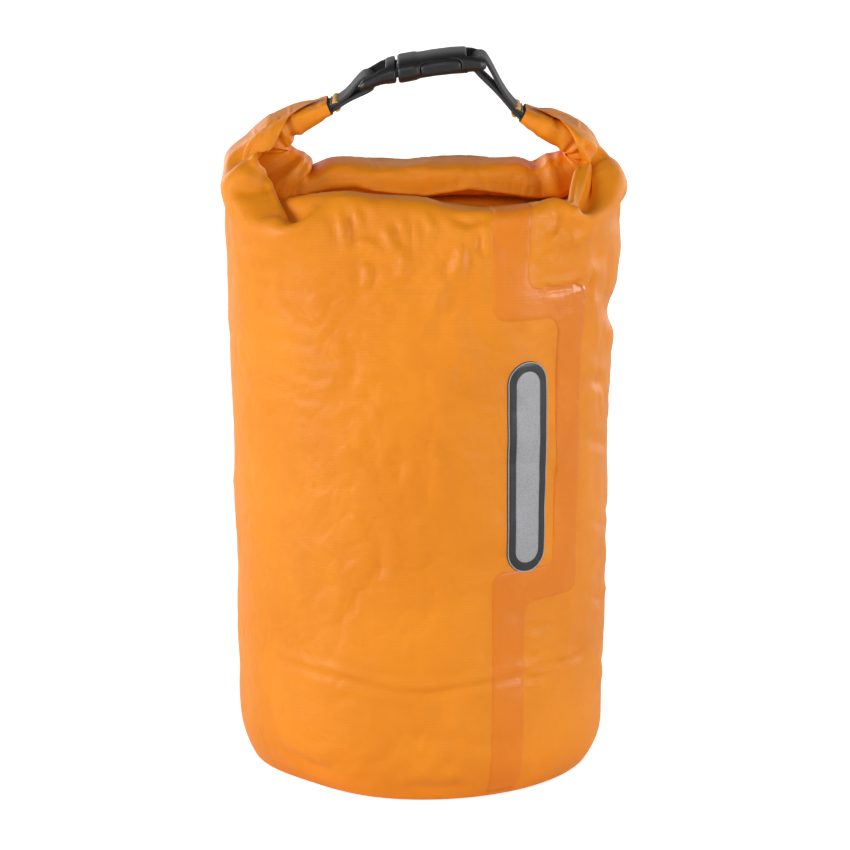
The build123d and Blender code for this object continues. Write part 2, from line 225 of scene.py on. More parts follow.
def project(x, free, a, b, rest, stiffness, push_only=False):
    """Moves grid points a and b towards their rest distance; free is their inverse mass."""
    pa, pb = x[a], x[b]
    d = pb - pa
    length = np.sqrt(np.einsum("...i,...i->...", d, d)) + TINY
    free_a, free_b = free[a], free[b]
    excess = length - rest
    if push_only:
        excess = np.minimum(excess, 0)
    move = (stiffness * excess / (length * (free_a + free_b + TINY)))[..., None] * d
    x[a] = pa + move * free_a[..., None]
    x[b] = pb - move * free_b[..., None]


def sheet_links(sheet, bend):
    """Arguments of project for the weave, and for the longer links that resist bending.
    Each entry holds every second pair, so that no point is in it twice."""
    columns, rows = np.arange(sheet.columns), np.arange(sheet.rows)
    hoop, rise = sheet.hoop[None], sheet.rise[:, None]
    diagonal = np.hypot(hoop[:, :-1], rise)

    def around(reach, phase):
        i = columns[(columns // reach) % 2 == phase][:, None]
        return i, (i + reach) % sheet.columns

    weave, stiff = [], []
    for phase in (0, 1):
        i, j = around(1, phase)
        weave.append(((i, rows[None]), (j, rows[None]), hoop, 1.0))
    for phase in (0, 1):
        end = phase + 2 * ((sheet.rows - phase) // 2)
        below, above = slice(phase, end, 2), slice(phase + 1, end + 1, 2)
        weave.append(((EVERY, below), (EVERY, above), rise, 1.0))
    for phase in (0, 1):
        i, j = around(1, phase)
        for a, b in ((i, j), (j, i)):
            weave.append(((a, rows[None, :-1]), (b, rows[None, 1:]), diagonal[i[:, 0]], 0.25))
    for reach, strength in ((2, bend), (4, bend * 0.6)):
        for phase in (0, 1):
            i, j = around(reach, phase)
            stiff.append(((i, rows[None]), (j, rows[None]), hoop * reach, strength, True))
            k = np.arange(sheet.rows - reach)
            k = k[(k // reach) % 2 == phase]
            stiff.append(((EVERY, k), (EVERY, k + reach), rise * reach, strength, True))
    return weave, stiff


def hold_up(q):
    """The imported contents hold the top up: nearly flat, with a soft rim."""
    c = CONTENTS
    ax, ay = np.abs(q[..., 0]) / c.half_x, np.abs(q[..., 1]) / c.half_y
    r = np.sqrt(ax * ax + ay * ay) + 1e-6
    front_z = np.interp(q[..., 0], RIM_X, RIM_Z)
    rim_z = np.where(q[..., 1] < 0, front_z, c.rear_rim - 1.5 * ax**2) - 0.3
    top = c.top + (rim_z - c.top) * np.clip(np.abs(q[..., 1]) / 41, 0, 1) ** 1.3
    beyond, above = (r - 1) * c.half_y, q[..., 2] - top
    rim_x, rim_z = beyond + c.rim, above + c.rim
    distance = np.where((rim_x > 0) & (rim_z > 0),
                        np.hypot(np.maximum(rim_x, 0), np.maximum(rim_z, 0)) - c.rim,
                        np.maximum(beyond, above))
    push = np.maximum(0.3 - distance, 0) * (distance > -9) * 0.7
    out, up = np.maximum(rim_x, 0.01), np.maximum(rim_z, 0.01)
    slant = np.hypot(out, up)
    radial = np.stack([q[..., 0], q[..., 1] * (c.half_x / c.half_y) ** 2], -1)
    radial /= np.linalg.norm(radial, axis=-1)[..., None] + TINY
    for axis in (0, 1):
        q[..., axis] += radial[..., axis] * out / slant * push
    q[..., 2] += up / slant * push


def keep_off_roll(x, line, first):
    """Rows of the sheet from first on are pushed out of the solid roll."""
    q = x[:, first:-1].reshape(-1, 3)
    near, along, outward = beside(line, q)
    half = line.half[near] + 0.6
    deep, deep_y = half - np.abs(outward), line.width[near] / 2 + 0.6 - np.abs(q[:, 1])
    within = (deep > 0) & (deep_y > 0) & (np.abs(along) < 3)
    by_face = within & ((deep < deep_y) | (outward > 0))
    by_side = within & ~by_face
    for axis, part in ((0, 0), (2, 1)):
        direction = line.outward[near[by_face], part]
        q[by_face, axis] += direction * (half - outward)[by_face] * 0.5
    q[by_side, 1] += np.sign(q[by_side, 1]) * deep_y[by_side] * 0.5
    x[:, first:-1] = q.reshape(x[:, first:-1].shape)


def keep_under_roof(q):
    """Nothing stands past the outside of the turned-up ends."""
    roof = np.interp(q[..., 0], ROOF_X, ROOF_Z)
    slope = (np.interp(q[..., 0] + 0.5, ROOF_X, ROOF_Z)
             - np.interp(q[..., 0] - 0.5, ROOF_X, ROOF_Z)) / (1 + TINY)
    over = np.maximum(q[..., 2] - roof, 0) / (1 + slope * slope) * 0.7
    q[..., 0] += slope * over
    q[..., 2] -= over


def keep_between_sides(q):
    low, high = np.interp(q[..., 2], SIDE_Z, SIDE_L), np.interp(q[..., 2], SIDE_Z, SIDE_R)
    q[..., 0] += 0.7 * (np.maximum(low - q[..., 0], 0) - np.maximum(q[..., 0] - high, 0))


def guide_pulls(sheet, free):
    """The guides on this sheet: grid place, target, strength, weight of every point."""
    pulls = []
    for degrees, v, target, radius, strength in GUIDES:
        turn = (math.radians(degrees) + math.pi) / (2 * math.pi)
        i = int(round(turn * sheet.columns)) % sheet.columns
        j = int(round(v / sheet.dv))
        half = sheet.columns // 2
        du = ((np.arange(sheet.columns) - i + half) % sheet.columns - half) * sheet.du
        dv = (np.arange(sheet.rows) - j) * sheet.dv
        weight = np.exp(-(du[:, None] ** 2 + dv[None] ** 2) / (2 * radius * radius)) * free
        pulls.append((i, j, np.array(target), strength, weight[..., None]))
    return pulls


def relax(sheet, x, steps, iterations, press, bend, gravity):
    free = np.ones((sheet.columns, sheet.rows))
    free[:, 0] = free[:, -1] = 0
    weave, stiff = sheet_links(sheet, bend)
    pulls = guide_pulls(sheet, free)
    line = roll_line(161)
    velocity = np.zeros_like(x)
    blow = press * np.interp(sheet.v, [0, 12, 185, 200, 212, HEIGHT],
                             [0.3, 1, 1, 0.55, 0.05, 0.02])
    sag = gravity * np.interp(sheet.v, [0, 198, 208, HEIGHT], [0, 0, 1, 1])
    front = np.abs(sheet.angle) < math.pi / 2
    # first row that meets the roll, the contents and the side limits
    row_roll, row_top, row_side = (int(sheet.rows * share) for share in (0.62, 0.7, 0.2))
    for _ in range(steps):
        old = x.copy()
        x = x + velocity * DAMPING + grid_normals(x) * blow[None, :, None] * free[..., None]
        x[..., 2] -= sag[None, :] * free
        for turn in range(iterations):
            for link in weave + (stiff if turn % 2 == 0 else []):
                project(x, free, *link)
        # front and back layers never cross; nothing sinks through the ground
        x[front, :, 1] = np.minimum(x[front][..., 1], -0.25)
        x[~front, :, 1] = np.maximum(x[~front][..., 1], 0.25)
        x[..., 2] = np.maximum(x[..., 2], 0.35)
        hold_up(x[:, row_top:-1])
        keep_off_roll(x, line, row_roll)
        keep_under_roof(x[:, row_roll:-1])
        keep_between_sides(x[:, row_side:-1])
        for i, j, target, strength, weight in pulls:
            x += weight * ((target - x[i, j]) * strength)
        x[:, 0], x[:, -1] = old[:, 0], old[:, -1]
        velocity = x - old
        speed = np.linalg.norm(velocity, axis=2)
        velocity *= np.minimum(1, 1.5 / (speed + TINY))[..., None]
    return x


def settle(x):
    """Evens out the gathers next to the roll and keeps the sheet outside it."""
    rows = x.shape[1]
    v = np.linspace(0, HEIGHT, rows)
    by_roll = np.interp(v, [204, 222], [0, 0.5])[None, :, None]
    even = np.interp(v, [2, 8, 214, 222], [0, 0.4, 0.4, 0])[None, :, None]
    line = roll_line(321)
    first = int(rows * 0.75)
    for turn in range(10):
        mean = (np.roll(x, 1, 0) + np.roll(x, -1, 0)) / 2
        mean[:, 1:-1] = (mean[:, 1:-1] + (x[:, 2:] + x[:, :-2]) / 2) / 2
        last = x[:, -1].copy()
        x = x + (mean - x) * (by_roll + (even if turn < 8 else 0))
        x[:, -1] = last
        q = x[:, first:-1].reshape(-1, 3)
        near, along, outward = beside(line, q)
        half, half_y = line.half[near] + 0.45, line.width[near] / 2 + 0.45
        f = (np.abs(outward) / half) ** 2.2 + (np.abs(q[:, 1]) / half_y) ** 2.8
        within = (f < 1) & (np.abs(along) < 2.5)
        grow = np.where(within, np.minimum((f + 1e-3) ** (-1 / 2.4), 4.0) - 1, 0)
        q[:, 0] += line.outward[near, 0] * outward * grow
        q[:, 2] += line.outward[near, 1] * outward * grow
        q[:, 1] *= 1 + grow * 0.6
        x[:, first:-1] = q.reshape(x[:, first:-1].shape)
    return x


def simulate():
    """Coarse, middle and fine sheets in turn."""
    sheet = Sheet(96, 60)
    x = relax(sheet, sheet.start(), steps=130, iterations=10,
              press=0.04, bend=0.05, gravity=0.05)
    sheet = Sheet(192, 120)
    x = resample(x, 192, 120)
    x[:, -1] = sheet.top
    x = relax(sheet, x, steps=60, iterations=12,
              press=0.015, bend=0.08, gravity=0.03)
    x = resample(x, 360, 226)
    sheet = Sheet(360, 226)
    x[:, -1] = sheet.top
    x = relax(sheet, x, steps=8, iterations=10, press=0.006, bend=0.1, gravity=0.01)
    return settle(x)


# ============================ 3. Noise and meshes ============================
def value_noise(p, seed):
    """Smooth noise in -1..1 at points p (n, 3)."""
    i = np.floor(p).astype(np.int64)
    f = p - i
    f = f * f * f * (f * (f * 6 - 15) + 10)
    out = np.zeros(len(p))
    for dx, dy, dz in np.ndindex(2, 2, 2):
        h = ((i[:, 0] + dx) * 374761393 + (i[:, 1] + dy) * 668265263
             + (i[:, 2] + dz) * 2147483647 + seed * 974711)
        h = (h ^ (h >> 13)) * 1274126177
        h = (h ^ (h >> 16)) & 0xFFFFFF
        weight = ((f[:, 0] if dx else 1 - f[:, 0]) * (f[:, 1] if dy else 1 - f[:, 1])
                  * (f[:, 2] if dz else 1 - f[:, 2]))
        out += weight * (h / 0x7FFFFF - 1)
    return out


def link_object(name, mesh):
    ob = bpy.data.objects.new(name, mesh)
    bpy.context.scene.collection.objects.link(ob)
    return ob


def make_mesh(name, points, faces, uvs=None, normals=None, smooth=True):
    """Points in millimetres; uvs per face corner in millimetres, stored in metres."""
    mesh = bpy.data.meshes.new(name)
    faces = [list(map(int, face)) for face in faces]
    mesh.from_pydata((np.asarray(points) * MM).tolist(), [], faces)
    if uvs is not None:
        layer = mesh.uv_layers.new(name="weave")
        layer.data.foreach_set("uv", (np.asarray(uvs, np.float32) * MM).ravel())
    mesh.update()
    if smooth:
        mesh.polygons.foreach_set("use_smooth", [True] * len(mesh.polygons))
    if normals is not None:
        mesh.normals_split_custom_set_from_vertices(np.asarray(normals, float).tolist())
    return link_object(name, mesh)


def ring_quads(rings, around, base=0):
    """Quads between successive closed rings of points."""
    quads = []
    for i in range(rings - 1):
        low, high = base + i * around, base + (i + 1) * around
        for j in range(around):
            k = (j + 1) % around
            quads.append((low + j, low + k, high + k, high + j))
    return quads


def dress(ob, material):
    ob.data.materials.append(MATERIALS[material])


def attach(ob, part):
    """The middle part rides the bag; a left or right part only has its transform baked into its
    mesh.
    """
    if part == "middle":
        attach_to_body(ob, "bag")
    else:
        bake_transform(ob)


# ============================ 4. Materials ============================
BLACK, WHITE = (0, 0, 0), (1, 1, 1)


def tint(tone, factor):
    return tuple(min(1, c * factor) for c in tone)


class Shader:
    """Short way to write a node material."""
    def __init__(self, name):
        self.material = bpy.data.materials.new(name)
        self.material.use_nodes = True
        self.tree = self.material.node_tree
        self.tree.nodes.clear()
        out = self.new("ShaderNodeOutputMaterial")
        self.bsdf = self.new("ShaderNodeBsdfPrincipled")
        self.link(self.bsdf.outputs[0], out.inputs[0])

    def new(self, kind, **settings):
        node = self.tree.nodes.new(kind)
        for key, value in settings.items():
            setattr(node, key, value)
        return node

    def link(self, a, b):
        self.tree.links.new(a, b)

    def put(self, socket, value):
        if hasattr(value, "is_output"):
            self.link(value, socket)
        else:
            socket.default_value = value

    def surface(self, values):
        for key, value in values.items():
            self.put(self.bsdf.inputs[key], value)
        return self.material

    def position(self):
        return self.new("ShaderNodeTexCoord").outputs["Object"]

    def weave(self):
        """The UV map, and its two coordinates."""
        uv = self.new("ShaderNodeUVMap", uv_map="weave").outputs[0]
        split = self.new("ShaderNodeSeparateXYZ")
        self.link(uv, split.inputs[0])
        return uv, split.outputs[0], split.outputs[1]

    def math(self, operation, a, b=0.0, clamp=False):
        node = self.new("ShaderNodeMath", operation=operation, use_clamp=clamp)
        self.put(node.inputs[0], a)
        self.put(node.inputs[1], b)
        return node.outputs[0]

    def add(self, a, b):
        return self.math("ADD", a, b)

    def times(self, a, b):
        return self.math("MULTIPLY", a, b)

    def noise(self, vector, scale, detail=2.0, rough=0.5, distort=0.0):
        node = self.new("ShaderNodeTexNoise")
        for key, value in (("Vector", vector), ("Scale", scale), ("Detail", detail),
                           ("Roughness", rough), ("Distortion", distort)):
            self.put(node.inputs[key], value)
        return node.outputs["Fac"]

    def ramp(self, factor, *stops):
        """Two (position, colour) stops."""
        node = self.new("ShaderNodeValToRGB")
        self.put(node.inputs[0], factor)
        for element, (position, colour) in zip(node.color_ramp.elements, stops):
            element.position = position
            element.color = (*colour, 1)
        return node.outputs[0]

    def mix(self, factor, a, b):
        node = self.new("ShaderNodeMix", data_type="RGBA", blend_type="MIX")
        self.put(node.inputs[0], factor)
        for socket, value in ((node.inputs[6], a), (node.inputs[7], b)):
            self.put(socket, (*value, 1) if isinstance(value, tuple) else value)
        return node.outputs[2]

    def scaled(self, vector, scale):
        node = self.new("ShaderNodeMapping")
        self.link(vector, node.inputs[0])
        node.inputs["Scale"].default_value = scale
        return node.outputs[0]

    def bump(self, height, strength, distance, under=None):
        node = self.new("ShaderNodeBump")
        node.inputs["Strength"].default_value = strength
        node.inputs["Distance"].default_value = distance
        self.put(node.inputs["Height"], height)
        if under is not None:
            self.link(under, node.inputs["Normal"])
        return node.outputs[0]

    def thread(self, coord, period):
        """0..1 ridge profile repeating every period metres along a coordinate."""
        return self.math("ABSOLUTE", self.math("SINE", self.times(coord, math.pi / period)))


WEAVE_PITCH = 0.00034
RIP_V, RIP_U = (0.00105, 10.0), (0.0042, 60.0)     # pitch and sharpness of the heavier threads
RIP_SHIFT = 0.0                                    # their offset from the UV origin
# places on the UV map where the film is smoother and shinier: u, v, half sizes
FILM_SPOTS = ((0.053, 0.174, 0.016, 0.010), (0.047, 0.040, 0.015, 0.006),
              (0.088, 0.110, 0.014, 0.055))


def fabric(name, base, dark, rough=0.44):
    """Plain weave, with a heavier ripstop thread every few rows, under a coating."""
    s = Shader(name)
    uv, u, v = s.weave()
    pos = s.position()
    weave = s.times(s.add(s.thread(u, WEAVE_PITCH), s.thread(v, WEAVE_PITCH)), 0.5)
    rip_v, rip_u = (s.math("POWER", s.thread(s.add(coord, RIP_SHIFT), pitch), sharp)
                    for coord, (pitch, sharp) in ((v, RIP_V), (u, RIP_U)))
    lines = s.math("MAXIMUM", rip_v, s.times(rip_u, 0.35))
    wander = s.noise(s.scaled(uv, (240, 1500, 1)), scale=1.0)
    lines = s.times(lines, s.math("MULTIPLY", wander, 1.7, clamp=True))
    cloud = s.noise(pos, scale=26.0, detail=3.0, rough=0.55, distort=0.6)
    fleck = s.noise(pos, scale=230.0, detail=3.0, rough=0.6)
    tone = s.ramp(cloud, (0.30, dark), (0.66, base))
    tone = s.mix(s.times(lines, 0.10), tone, tint(dark, 0.70))
    tone = s.mix(s.times(fleck, 0.10), tone, tint(base, 1.15))
    dull = s.add(s.times(s.noise(pos, scale=60.0, detail=3.0), 0.16), rough - 0.08)
    film = None
    for spot_u, spot_v, half_u, half_v in FILM_SPOTS:
        du = s.times(s.math("SUBTRACT", u, spot_u), 1 / half_u)
        dv = s.times(s.math("SUBTRACT", v, spot_v), 1 / half_v)
        fall = s.times(s.add(s.times(du, du), s.times(dv, dv)), -1.0)
        spot = s.math("POWER", math.e, fall)
        film = spot if film is None else s.math("MAXIMUM", film, spot)
    # thread relief, then fine and broad crinkles
    normal = s.bump(s.add(s.times(weave, 0.35), s.times(lines, 0.7)), 0.5, 0.00006)
    crinkle = s.noise(s.scaled(pos, (1, 1, 0.55)), scale=190.0, detail=3.0, rough=0.6,
                      distort=0.8)
    normal = s.bump(crinkle, strength=0.30, distance=0.0007, under=normal)
    normal = s.bump(s.noise(pos, scale=60.0, distort=1.2), strength=0.35, distance=0.0022,
                    under=normal)
    return s.surface({
        "Base Color": tone, "Roughness": s.math("SUBTRACT", dull, s.times(film, 0.20)),
        "Specular IOR Level": s.add(s.times(film, 0.35), 0.30),
        "Sheen Weight": 0.0, "Sheen Roughness": 0.4,
        "Coat Weight": 0.0, "Coat Roughness": 0.22, "Normal": normal})


def webbing(name):
    """Ribbed strap with a chevron; u runs down the strap, v across it."""
    rib_pitch, chevron_pitch, pick_pitch = 0.00125, 0.0011, 0.00062
    s = Shader(name)
    _, u, v = s.weave()
    rising = s.thread(s.add(s.times(u, 0.9), v), chevron_pitch)
    falling = s.thread(s.math("SUBTRACT", s.times(u, 0.9), v), chevron_pitch)
    rib, pick = s.thread(v, rib_pitch), s.thread(u, pick_pitch)
    wave = s.math("SINE", s.times(v, math.pi / rib_pitch))
    side = s.math("GREATER_THAN", wave, 0.0)
    chevron = s.add(s.times(rising, side), s.times(falling, s.math("SUBTRACT", 1.0, side)))
    height = s.add(s.times(chevron, 0.6), s.add(s.times(rib, 0.5), s.times(pick, 0.25)))
    fuzz = s.noise(s.position(), scale=1400.0)
    tone = s.ramp(s.times(height, 0.8), (0.15, (0.008, 0.008, 0.009)),
                  (0.85, (0.045, 0.045, 0.048)))
    normal = s.bump(height, strength=0.8, distance=0.00022)
    return s.surface({
        "Base Color": s.mix(s.times(fuzz, 0.3), tone, (0.07, 0.07, 0.072)),
        "Roughness": 0.7, "Sheen Weight": 0.22, "Sheen Roughness": 0.45,
        "Sheen Tint": (0.5, 0.5, 0.52, 1),
        "Normal": s.bump(fuzz, strength=0.3, distance=0.0001, under=normal)})


def plastic(name, tone, rough):
    """Grained moulding with patchy wear on its edges."""
    s = Shader(name)
    pos = s.position()
    grain = s.noise(pos, scale=2600.0, rough=0.6)
    broad = s.noise(pos, scale=90.0, detail=3.0)
    edge = s.new("ShaderNodeNewGeometry").outputs["Pointiness"]
    patchy = s.ramp(s.noise(pos, scale=420.0, detail=3.0), (0.4, BLACK), (0.62, WHITE))
    wear = s.times(s.times(s.ramp(edge, (0.50, BLACK), (0.60, WHITE)), patchy), 0.55)
    normal = s.bump(grain, strength=0.22, distance=0.00005)
    normal = s.bump(s.noise(pos, scale=380.0), strength=0.10, distance=0.0002, under=normal)
    return s.surface({
        "Base Color": s.mix(wear, s.mix(broad, tone, tint(tone, 1.5)), (0.075, 0.074, 0.072)),
        "Roughness": s.add(s.times(broad, 0.16), rough - 0.06),
        "Specular IOR Level": 0.5, "Normal": normal})


def thread(name, tone):
    s = Shader(name)
    twist = s.noise(s.scaled(s.position(), (2600, 700, 2600)), scale=1.0)
    return s.surface({
        "Base Color": s.mix(twist, tint(tone, 0.6), tint(tone, 1.25)),
        "Roughness": 0.5, "Sheen Weight": 0.3,
        "Normal": s.bump(twist, strength=0.6, distance=0.00012)})


def label_film(name):
    s = Shader(name)
    grain = s.noise(s.position(), scale=1800.0)
    return s.surface({
        "Base Color": s.mix(grain, (0.012, 0.013, 0.014), (0.03, 0.031, 0.033)),
        "Roughness": 0.38, "Normal": s.bump(grain, strength=0.2, distance=0.00006)})


def reflective_film(name):
    s = Shader(name)
    beads = s.new("ShaderNodeTexVoronoi")
    s.link(s.position(), beads.inputs["Vector"])
    beads.inputs["Scale"].default_value = 3300.0
    bead = beads.outputs["Distance"]
    return s.surface({
        "Base Color": s.ramp(bead, (0.0, (0.50, 0.50, 0.52)), (0.7, (0.30, 0.30, 0.315))),
        "Roughness": 0.5, "Metallic": 0.25,
        "Normal": s.bump(bead, strength=0.25, distance=0.00008)})


MATERIALS = {
    "coated_fabric": fabric("coated_fabric", base=(0.88, 0.282, 0.010),
                            dark=(0.78, 0.232, 0.006)),
    "seam_fabric": fabric("seam_fabric", base=(0.84, 0.236, 0.012),
                          dark=(0.75, 0.196, 0.008), rough=0.40),
    "base_fabric": fabric("base_fabric", base=(0.82, 0.25, 0.02),
                          dark=(0.70, 0.20, 0.013), rough=0.48),
    "webbing": webbing("webbing"),
    "buckle_plastic": plastic("buckle_plastic", tone=(0.011, 0.011, 0.012), rough=0.36),
    "tack_thread": thread("tack_thread", tone=(0.82, 0.40, 0.03)),
    "root_thread": thread("root_thread", tone=(0.36, 0.37, 0.40)),
    "stiffener_plastic": plastic("stiffener_plastic", tone=(0.03, 0.03, 0.03), rough=0.5),
    "label_film": label_film("label_film"),
    "reflective_film": reflective_film("reflective_film"),
}

# ============================ 5. The fabric and its creases ============================
body = simulate()
NU, NV = body.shape[:2]
DU, DV = CIRC / NU, HEIGHT / (NV - 1)
u_mm = (np.arange(NU) * DU - CIRC / 2)          # 0 at the front centre, + towards +X
v_mm = np.arange(NV) * DV
GRID_U, GRID_V = np.meshgrid(u_mm, v_mm, indexing="ij")
lift = np.zeros((NU, NV))                       # how far each point is raised off the sheet

# Folds on the front: depth into the bag (negative stands out), width, then u, v of each point
FOLDS = [
    (-0.85, 2.2, -25.3, 201.7, -24.2, 195.1, -23.1, 184.1),
    (0.55, 1.8, -27.5, 201.7, -25.3, 191.8, -24.2, 184.1),
    (0.6, 1.8, -23.1, 200.6, -20.9, 191.8, -22.0, 185.2),
    (-0.55, 1.6, -19.8, 200.6, -18.7, 197.3, -19.8, 191.8),
    (-0.55, 2.0, -20.9, 189.6, -14.3, 187.4, -9.9, 185.2, -5.5, 184.1),
    (0.45, 2.2, -23.1, 183.0, -16.5, 184.1, -11.0, 183.0, -6.6, 180.8),
    (-0.85, 2.0, -9.9, 196.2, -7.7, 188.5, -4.4, 183.0, -5.5, 178.6, -9.9, 175.3),
    (0.55, 1.8, -7.7, 197.3, -5.5, 189.6, -4.4, 185.2),
    (-0.65, 1.6, -4.4, 198.4, -3.3, 189.6, -2.2, 178.6),
    (0.45, 1.6, -2.2, 198.4, -2.2, 189.6, -1.1, 183.0),
    (-0.65, 1.6, 0.0, 197.3, 0.0, 189.6, 0.0, 183.0, 0.0, 178.6),
    (-0.45, 1.6, 2.2, 199.5, 5.5, 191.8),
    (-0.65, 1.8, 7.7, 199.5, 4.4, 190.7, 2.2, 184.1),
    (0.45, 1.6, 5.5, 199.5, 6.6, 195.1, 3.3, 188.5),
    (0.55, 1.8, 8.8, 184.1, 7.7, 178.6),
    (-0.85, 1.9, 14.3, 189.6, 14.3, 185.2, 12.1, 178.6),
    (0.45, 1.8, 16.5, 190.7, 16.5, 183.0, 14.3, 177.5),
    (-0.85, 2.5, 9.9, 179.7, 7.7, 174.2, 4.4, 165.3),
    (0.55, 2.5, 12.1, 176.4, 9.9, 170.8, 6.6, 164.2),
    (-0.45, 1.5, 17.6, 190.7, 18.7, 183.0),
    (0.45, 1.5, 19.8, 194.0, 19.8, 185.2),
    (-0.55, 1.6, 22.0, 196.2, 23.1, 185.2),
    (-0.65, 1.8, -16.5, 183.0, -15.4, 178.6, -18.7, 173.0),
    (0.85, 1.9, -14.3, 183.0, -14.3, 176.4, -16.5, 171.9),
    (-0.45, 2.2, -12.1, 170.8, -11.0, 166.4, -8.8, 162.0),
    (0.5, 2.4, -7.7, 174.2, -2.2, 175.3, 2.2, 177.5),
    (0.8, 1.3, 38.5, 174.2, 50.6, 173.0, 62.7, 175.3),
    (-0.55, 1.5, 38.5, 176.4, 49.5, 175.3, 60.5, 177.5),
    (0.7, 1.4, 60.5, 166.4, 64.9, 170.8, 64.9, 177.5),
    (-0.6, 2.0, 56.1, 170.8, 59.4, 173.0),
    (0.5, 2.2, 44.0, 187.4, 40.7, 184.1, 37.4, 179.7),
    (0.5, 1.4, 36.3, 58.4, 41.8, 58.4, 48.4, 58.4),
    (0.7, 1.3, 45.1, 43.0, 53.9, 43.0, 60.5, 43.0, 72.6, 41.9),
    (-0.8, 1.2, 36.3, 43.0, 40.7, 43.0, 47.3, 43.0, 53.9, 43.0),
    (0.6, 1.2, 35.2, 40.8, 40.7, 40.8, 46.2, 39.7),
    (0.45, 1.6, 37.4, 49.6, 41.8, 47.4),
    (0.9, 2.0, 23.1, 199.5, 17.6, 196.2, 9.9, 198.4),
    (-1.2, 2.8, 56.1, 206.1, 47.3, 195.1, 44.0, 189.6, 40.7, 185.2),
    (1.1, 2.4, 46.2, 199.5, 45.1, 191.8),
    (0.25, 2.0, 69.3, 166.4, 74.8, 154.3, 73.7, 137.8, 82.5, 114.6),
    (0.3, 1.6, 46.2, 159.8, 48.4, 142.2, 47.3, 122.3),
    (0.5, 1.6, -67.1, 43.0, -44.0, 44.1, -27.5, 43.0, -13.2, 40.8, 3.3, 39.7, 19.8, 41.9,
     35.2, 43.0, 52.8, 44.1, 81.4, 43.0),
    (-0.35, 1.8, -63.8, 46.3, -44.0, 46.3, -27.5, 45.2, -13.2, 43.0, 3.3, 41.9, 19.8, 44.1,
     35.2, 45.2, 52.8, 46.3, 78.1, 46.3),
    (0.7, 2.4, -7.7, 6.6, 6.6, 5.5, 20.9, 5.5),
    (0.8, 3.0, -57.2, 13.2, -40.7, 8.8, -28.6, 8.8),
    (0.35, 2.2, -9.9, 25.4, 3.3, 23.1, 16.5, 23.1),
    (0.6, 2.0, -82.5, 222.6, -71.5, 214.9, -56.1, 230.4),
    (0.35, 2.6, -23.1, 160.9, -20.9, 148.8, -23.1, 138.9),
    (0.4, 2.6, -11.0, 132.3, -5.5, 121.2, -8.8, 109.1),
    (-0.4, 2.8, 3.3, 129.0, 6.6, 115.7, 5.5, 99.2),
    (0.4, 2.8, -19.8, 98.1, -13.2, 90.4, -16.5, 75.0),
    (0.4, 2.6, -3.3, 86.0, 3.3, 75.0, 0.0, 58.4),
    (0.35, 2.2, -5.5, 160.9, 2.2, 156.5, 8.8, 158.7),
    (0.7, 2.2, 63.8, 140.0, 86.9, 133.4),
    (0.7, 2.2, 64.9, 119.0, 92.4, 110.2),
    (0.6, 2.2, 70.4, 62.8, 94.6, 54.0),
    (0.5, 2.0, 70.4, 89.3, 93.5, 81.6),
]
FOLD_DEPTH, FOLD_WIDTH = 1.35, 1.1              # overall scale of those folds
# Random small folds: seed, count, box (u0, u1, v0, v1), lengths, depth, how they lie
CRUMPLES = [
    (11, 150, (-198, 198, 40, 190), (8, 26), 0.34, None),
    (12, 60, (-198, 198, 150, 200), (12, 34), 0.55, "up"),
    (13, 50, (-198, 198, 6, 40), (10, 26), 0.45, None),
    (14, 30, (60, 140, 20, 190), (14, 34), 0.6, "flat"),
    (15, 30, (-40, 30, 60, 170), (6, 16), 0.42, None),
]
SHOULDERS = ((80, 212, 4.6), (72, 207, 1.8), (-74, 208, 1.9))    # u, v, height raised
# lines from the roll down to the front rim, left and right
WING_LINES = (
    [(-75, 231), (-72.6, 228), (-66, 219), (-58.3, 211), (-51.7, 205)],
    [(77, 234), (74.8, 230), (68.2, 221), (62.7, 213), (57.2, 207), (50, 197.5)],
)


def crease(points, depth, width, sharp, shoulder):
    """A fold line through (u, v) points, depth mm into the bag, with raised shoulders."""
    P = np.array(points, float)
    if len(P) > 2:
        P, _ = spline(P, max(8, 6 * len(P)))
    low, high = P.min(0) - width * 4, P.max(0) + width * 4
    box = np.ix_((u_mm > low[0]) & (u_mm < high[0]), (v_mm > low[1]) & (v_mm < high[1]))
    U, V = GRID_U[box], GRID_V[box]
    best, along = np.full(U.shape, 1e9), np.zeros(U.shape)
    total = running_length(P)
    for k, d in enumerate(np.diff(P, axis=0)):
        t = np.clip(((U - P[k, 0]) * d[0] + (V - P[k, 1]) * d[1]) / (d @ d + TINY), 0, 1)
        dist = np.hypot(U - P[k, 0] - t * d[0], V - P[k, 1] - t * d[1])
        m = dist < best
        best[m] = dist[m]
        along[m] = (total[k] + t[m] * np.linalg.norm(d)) / total[-1]
    taper = np.clip(np.minimum(along, 1 - along) * 3.2, 0, 1)
    taper = (taper * taper * (3 - 2 * taper)) * 0.92 + 0.08 * (best < width)
    q = best / width
    profile = (np.exp(-q * q) * (1 - sharp) + np.exp(-q * 1.8) * sharp
               - shoulder * np.exp(-((q - 1.7) / 0.7) ** 2))
    lift[box] -= depth * taper * profile


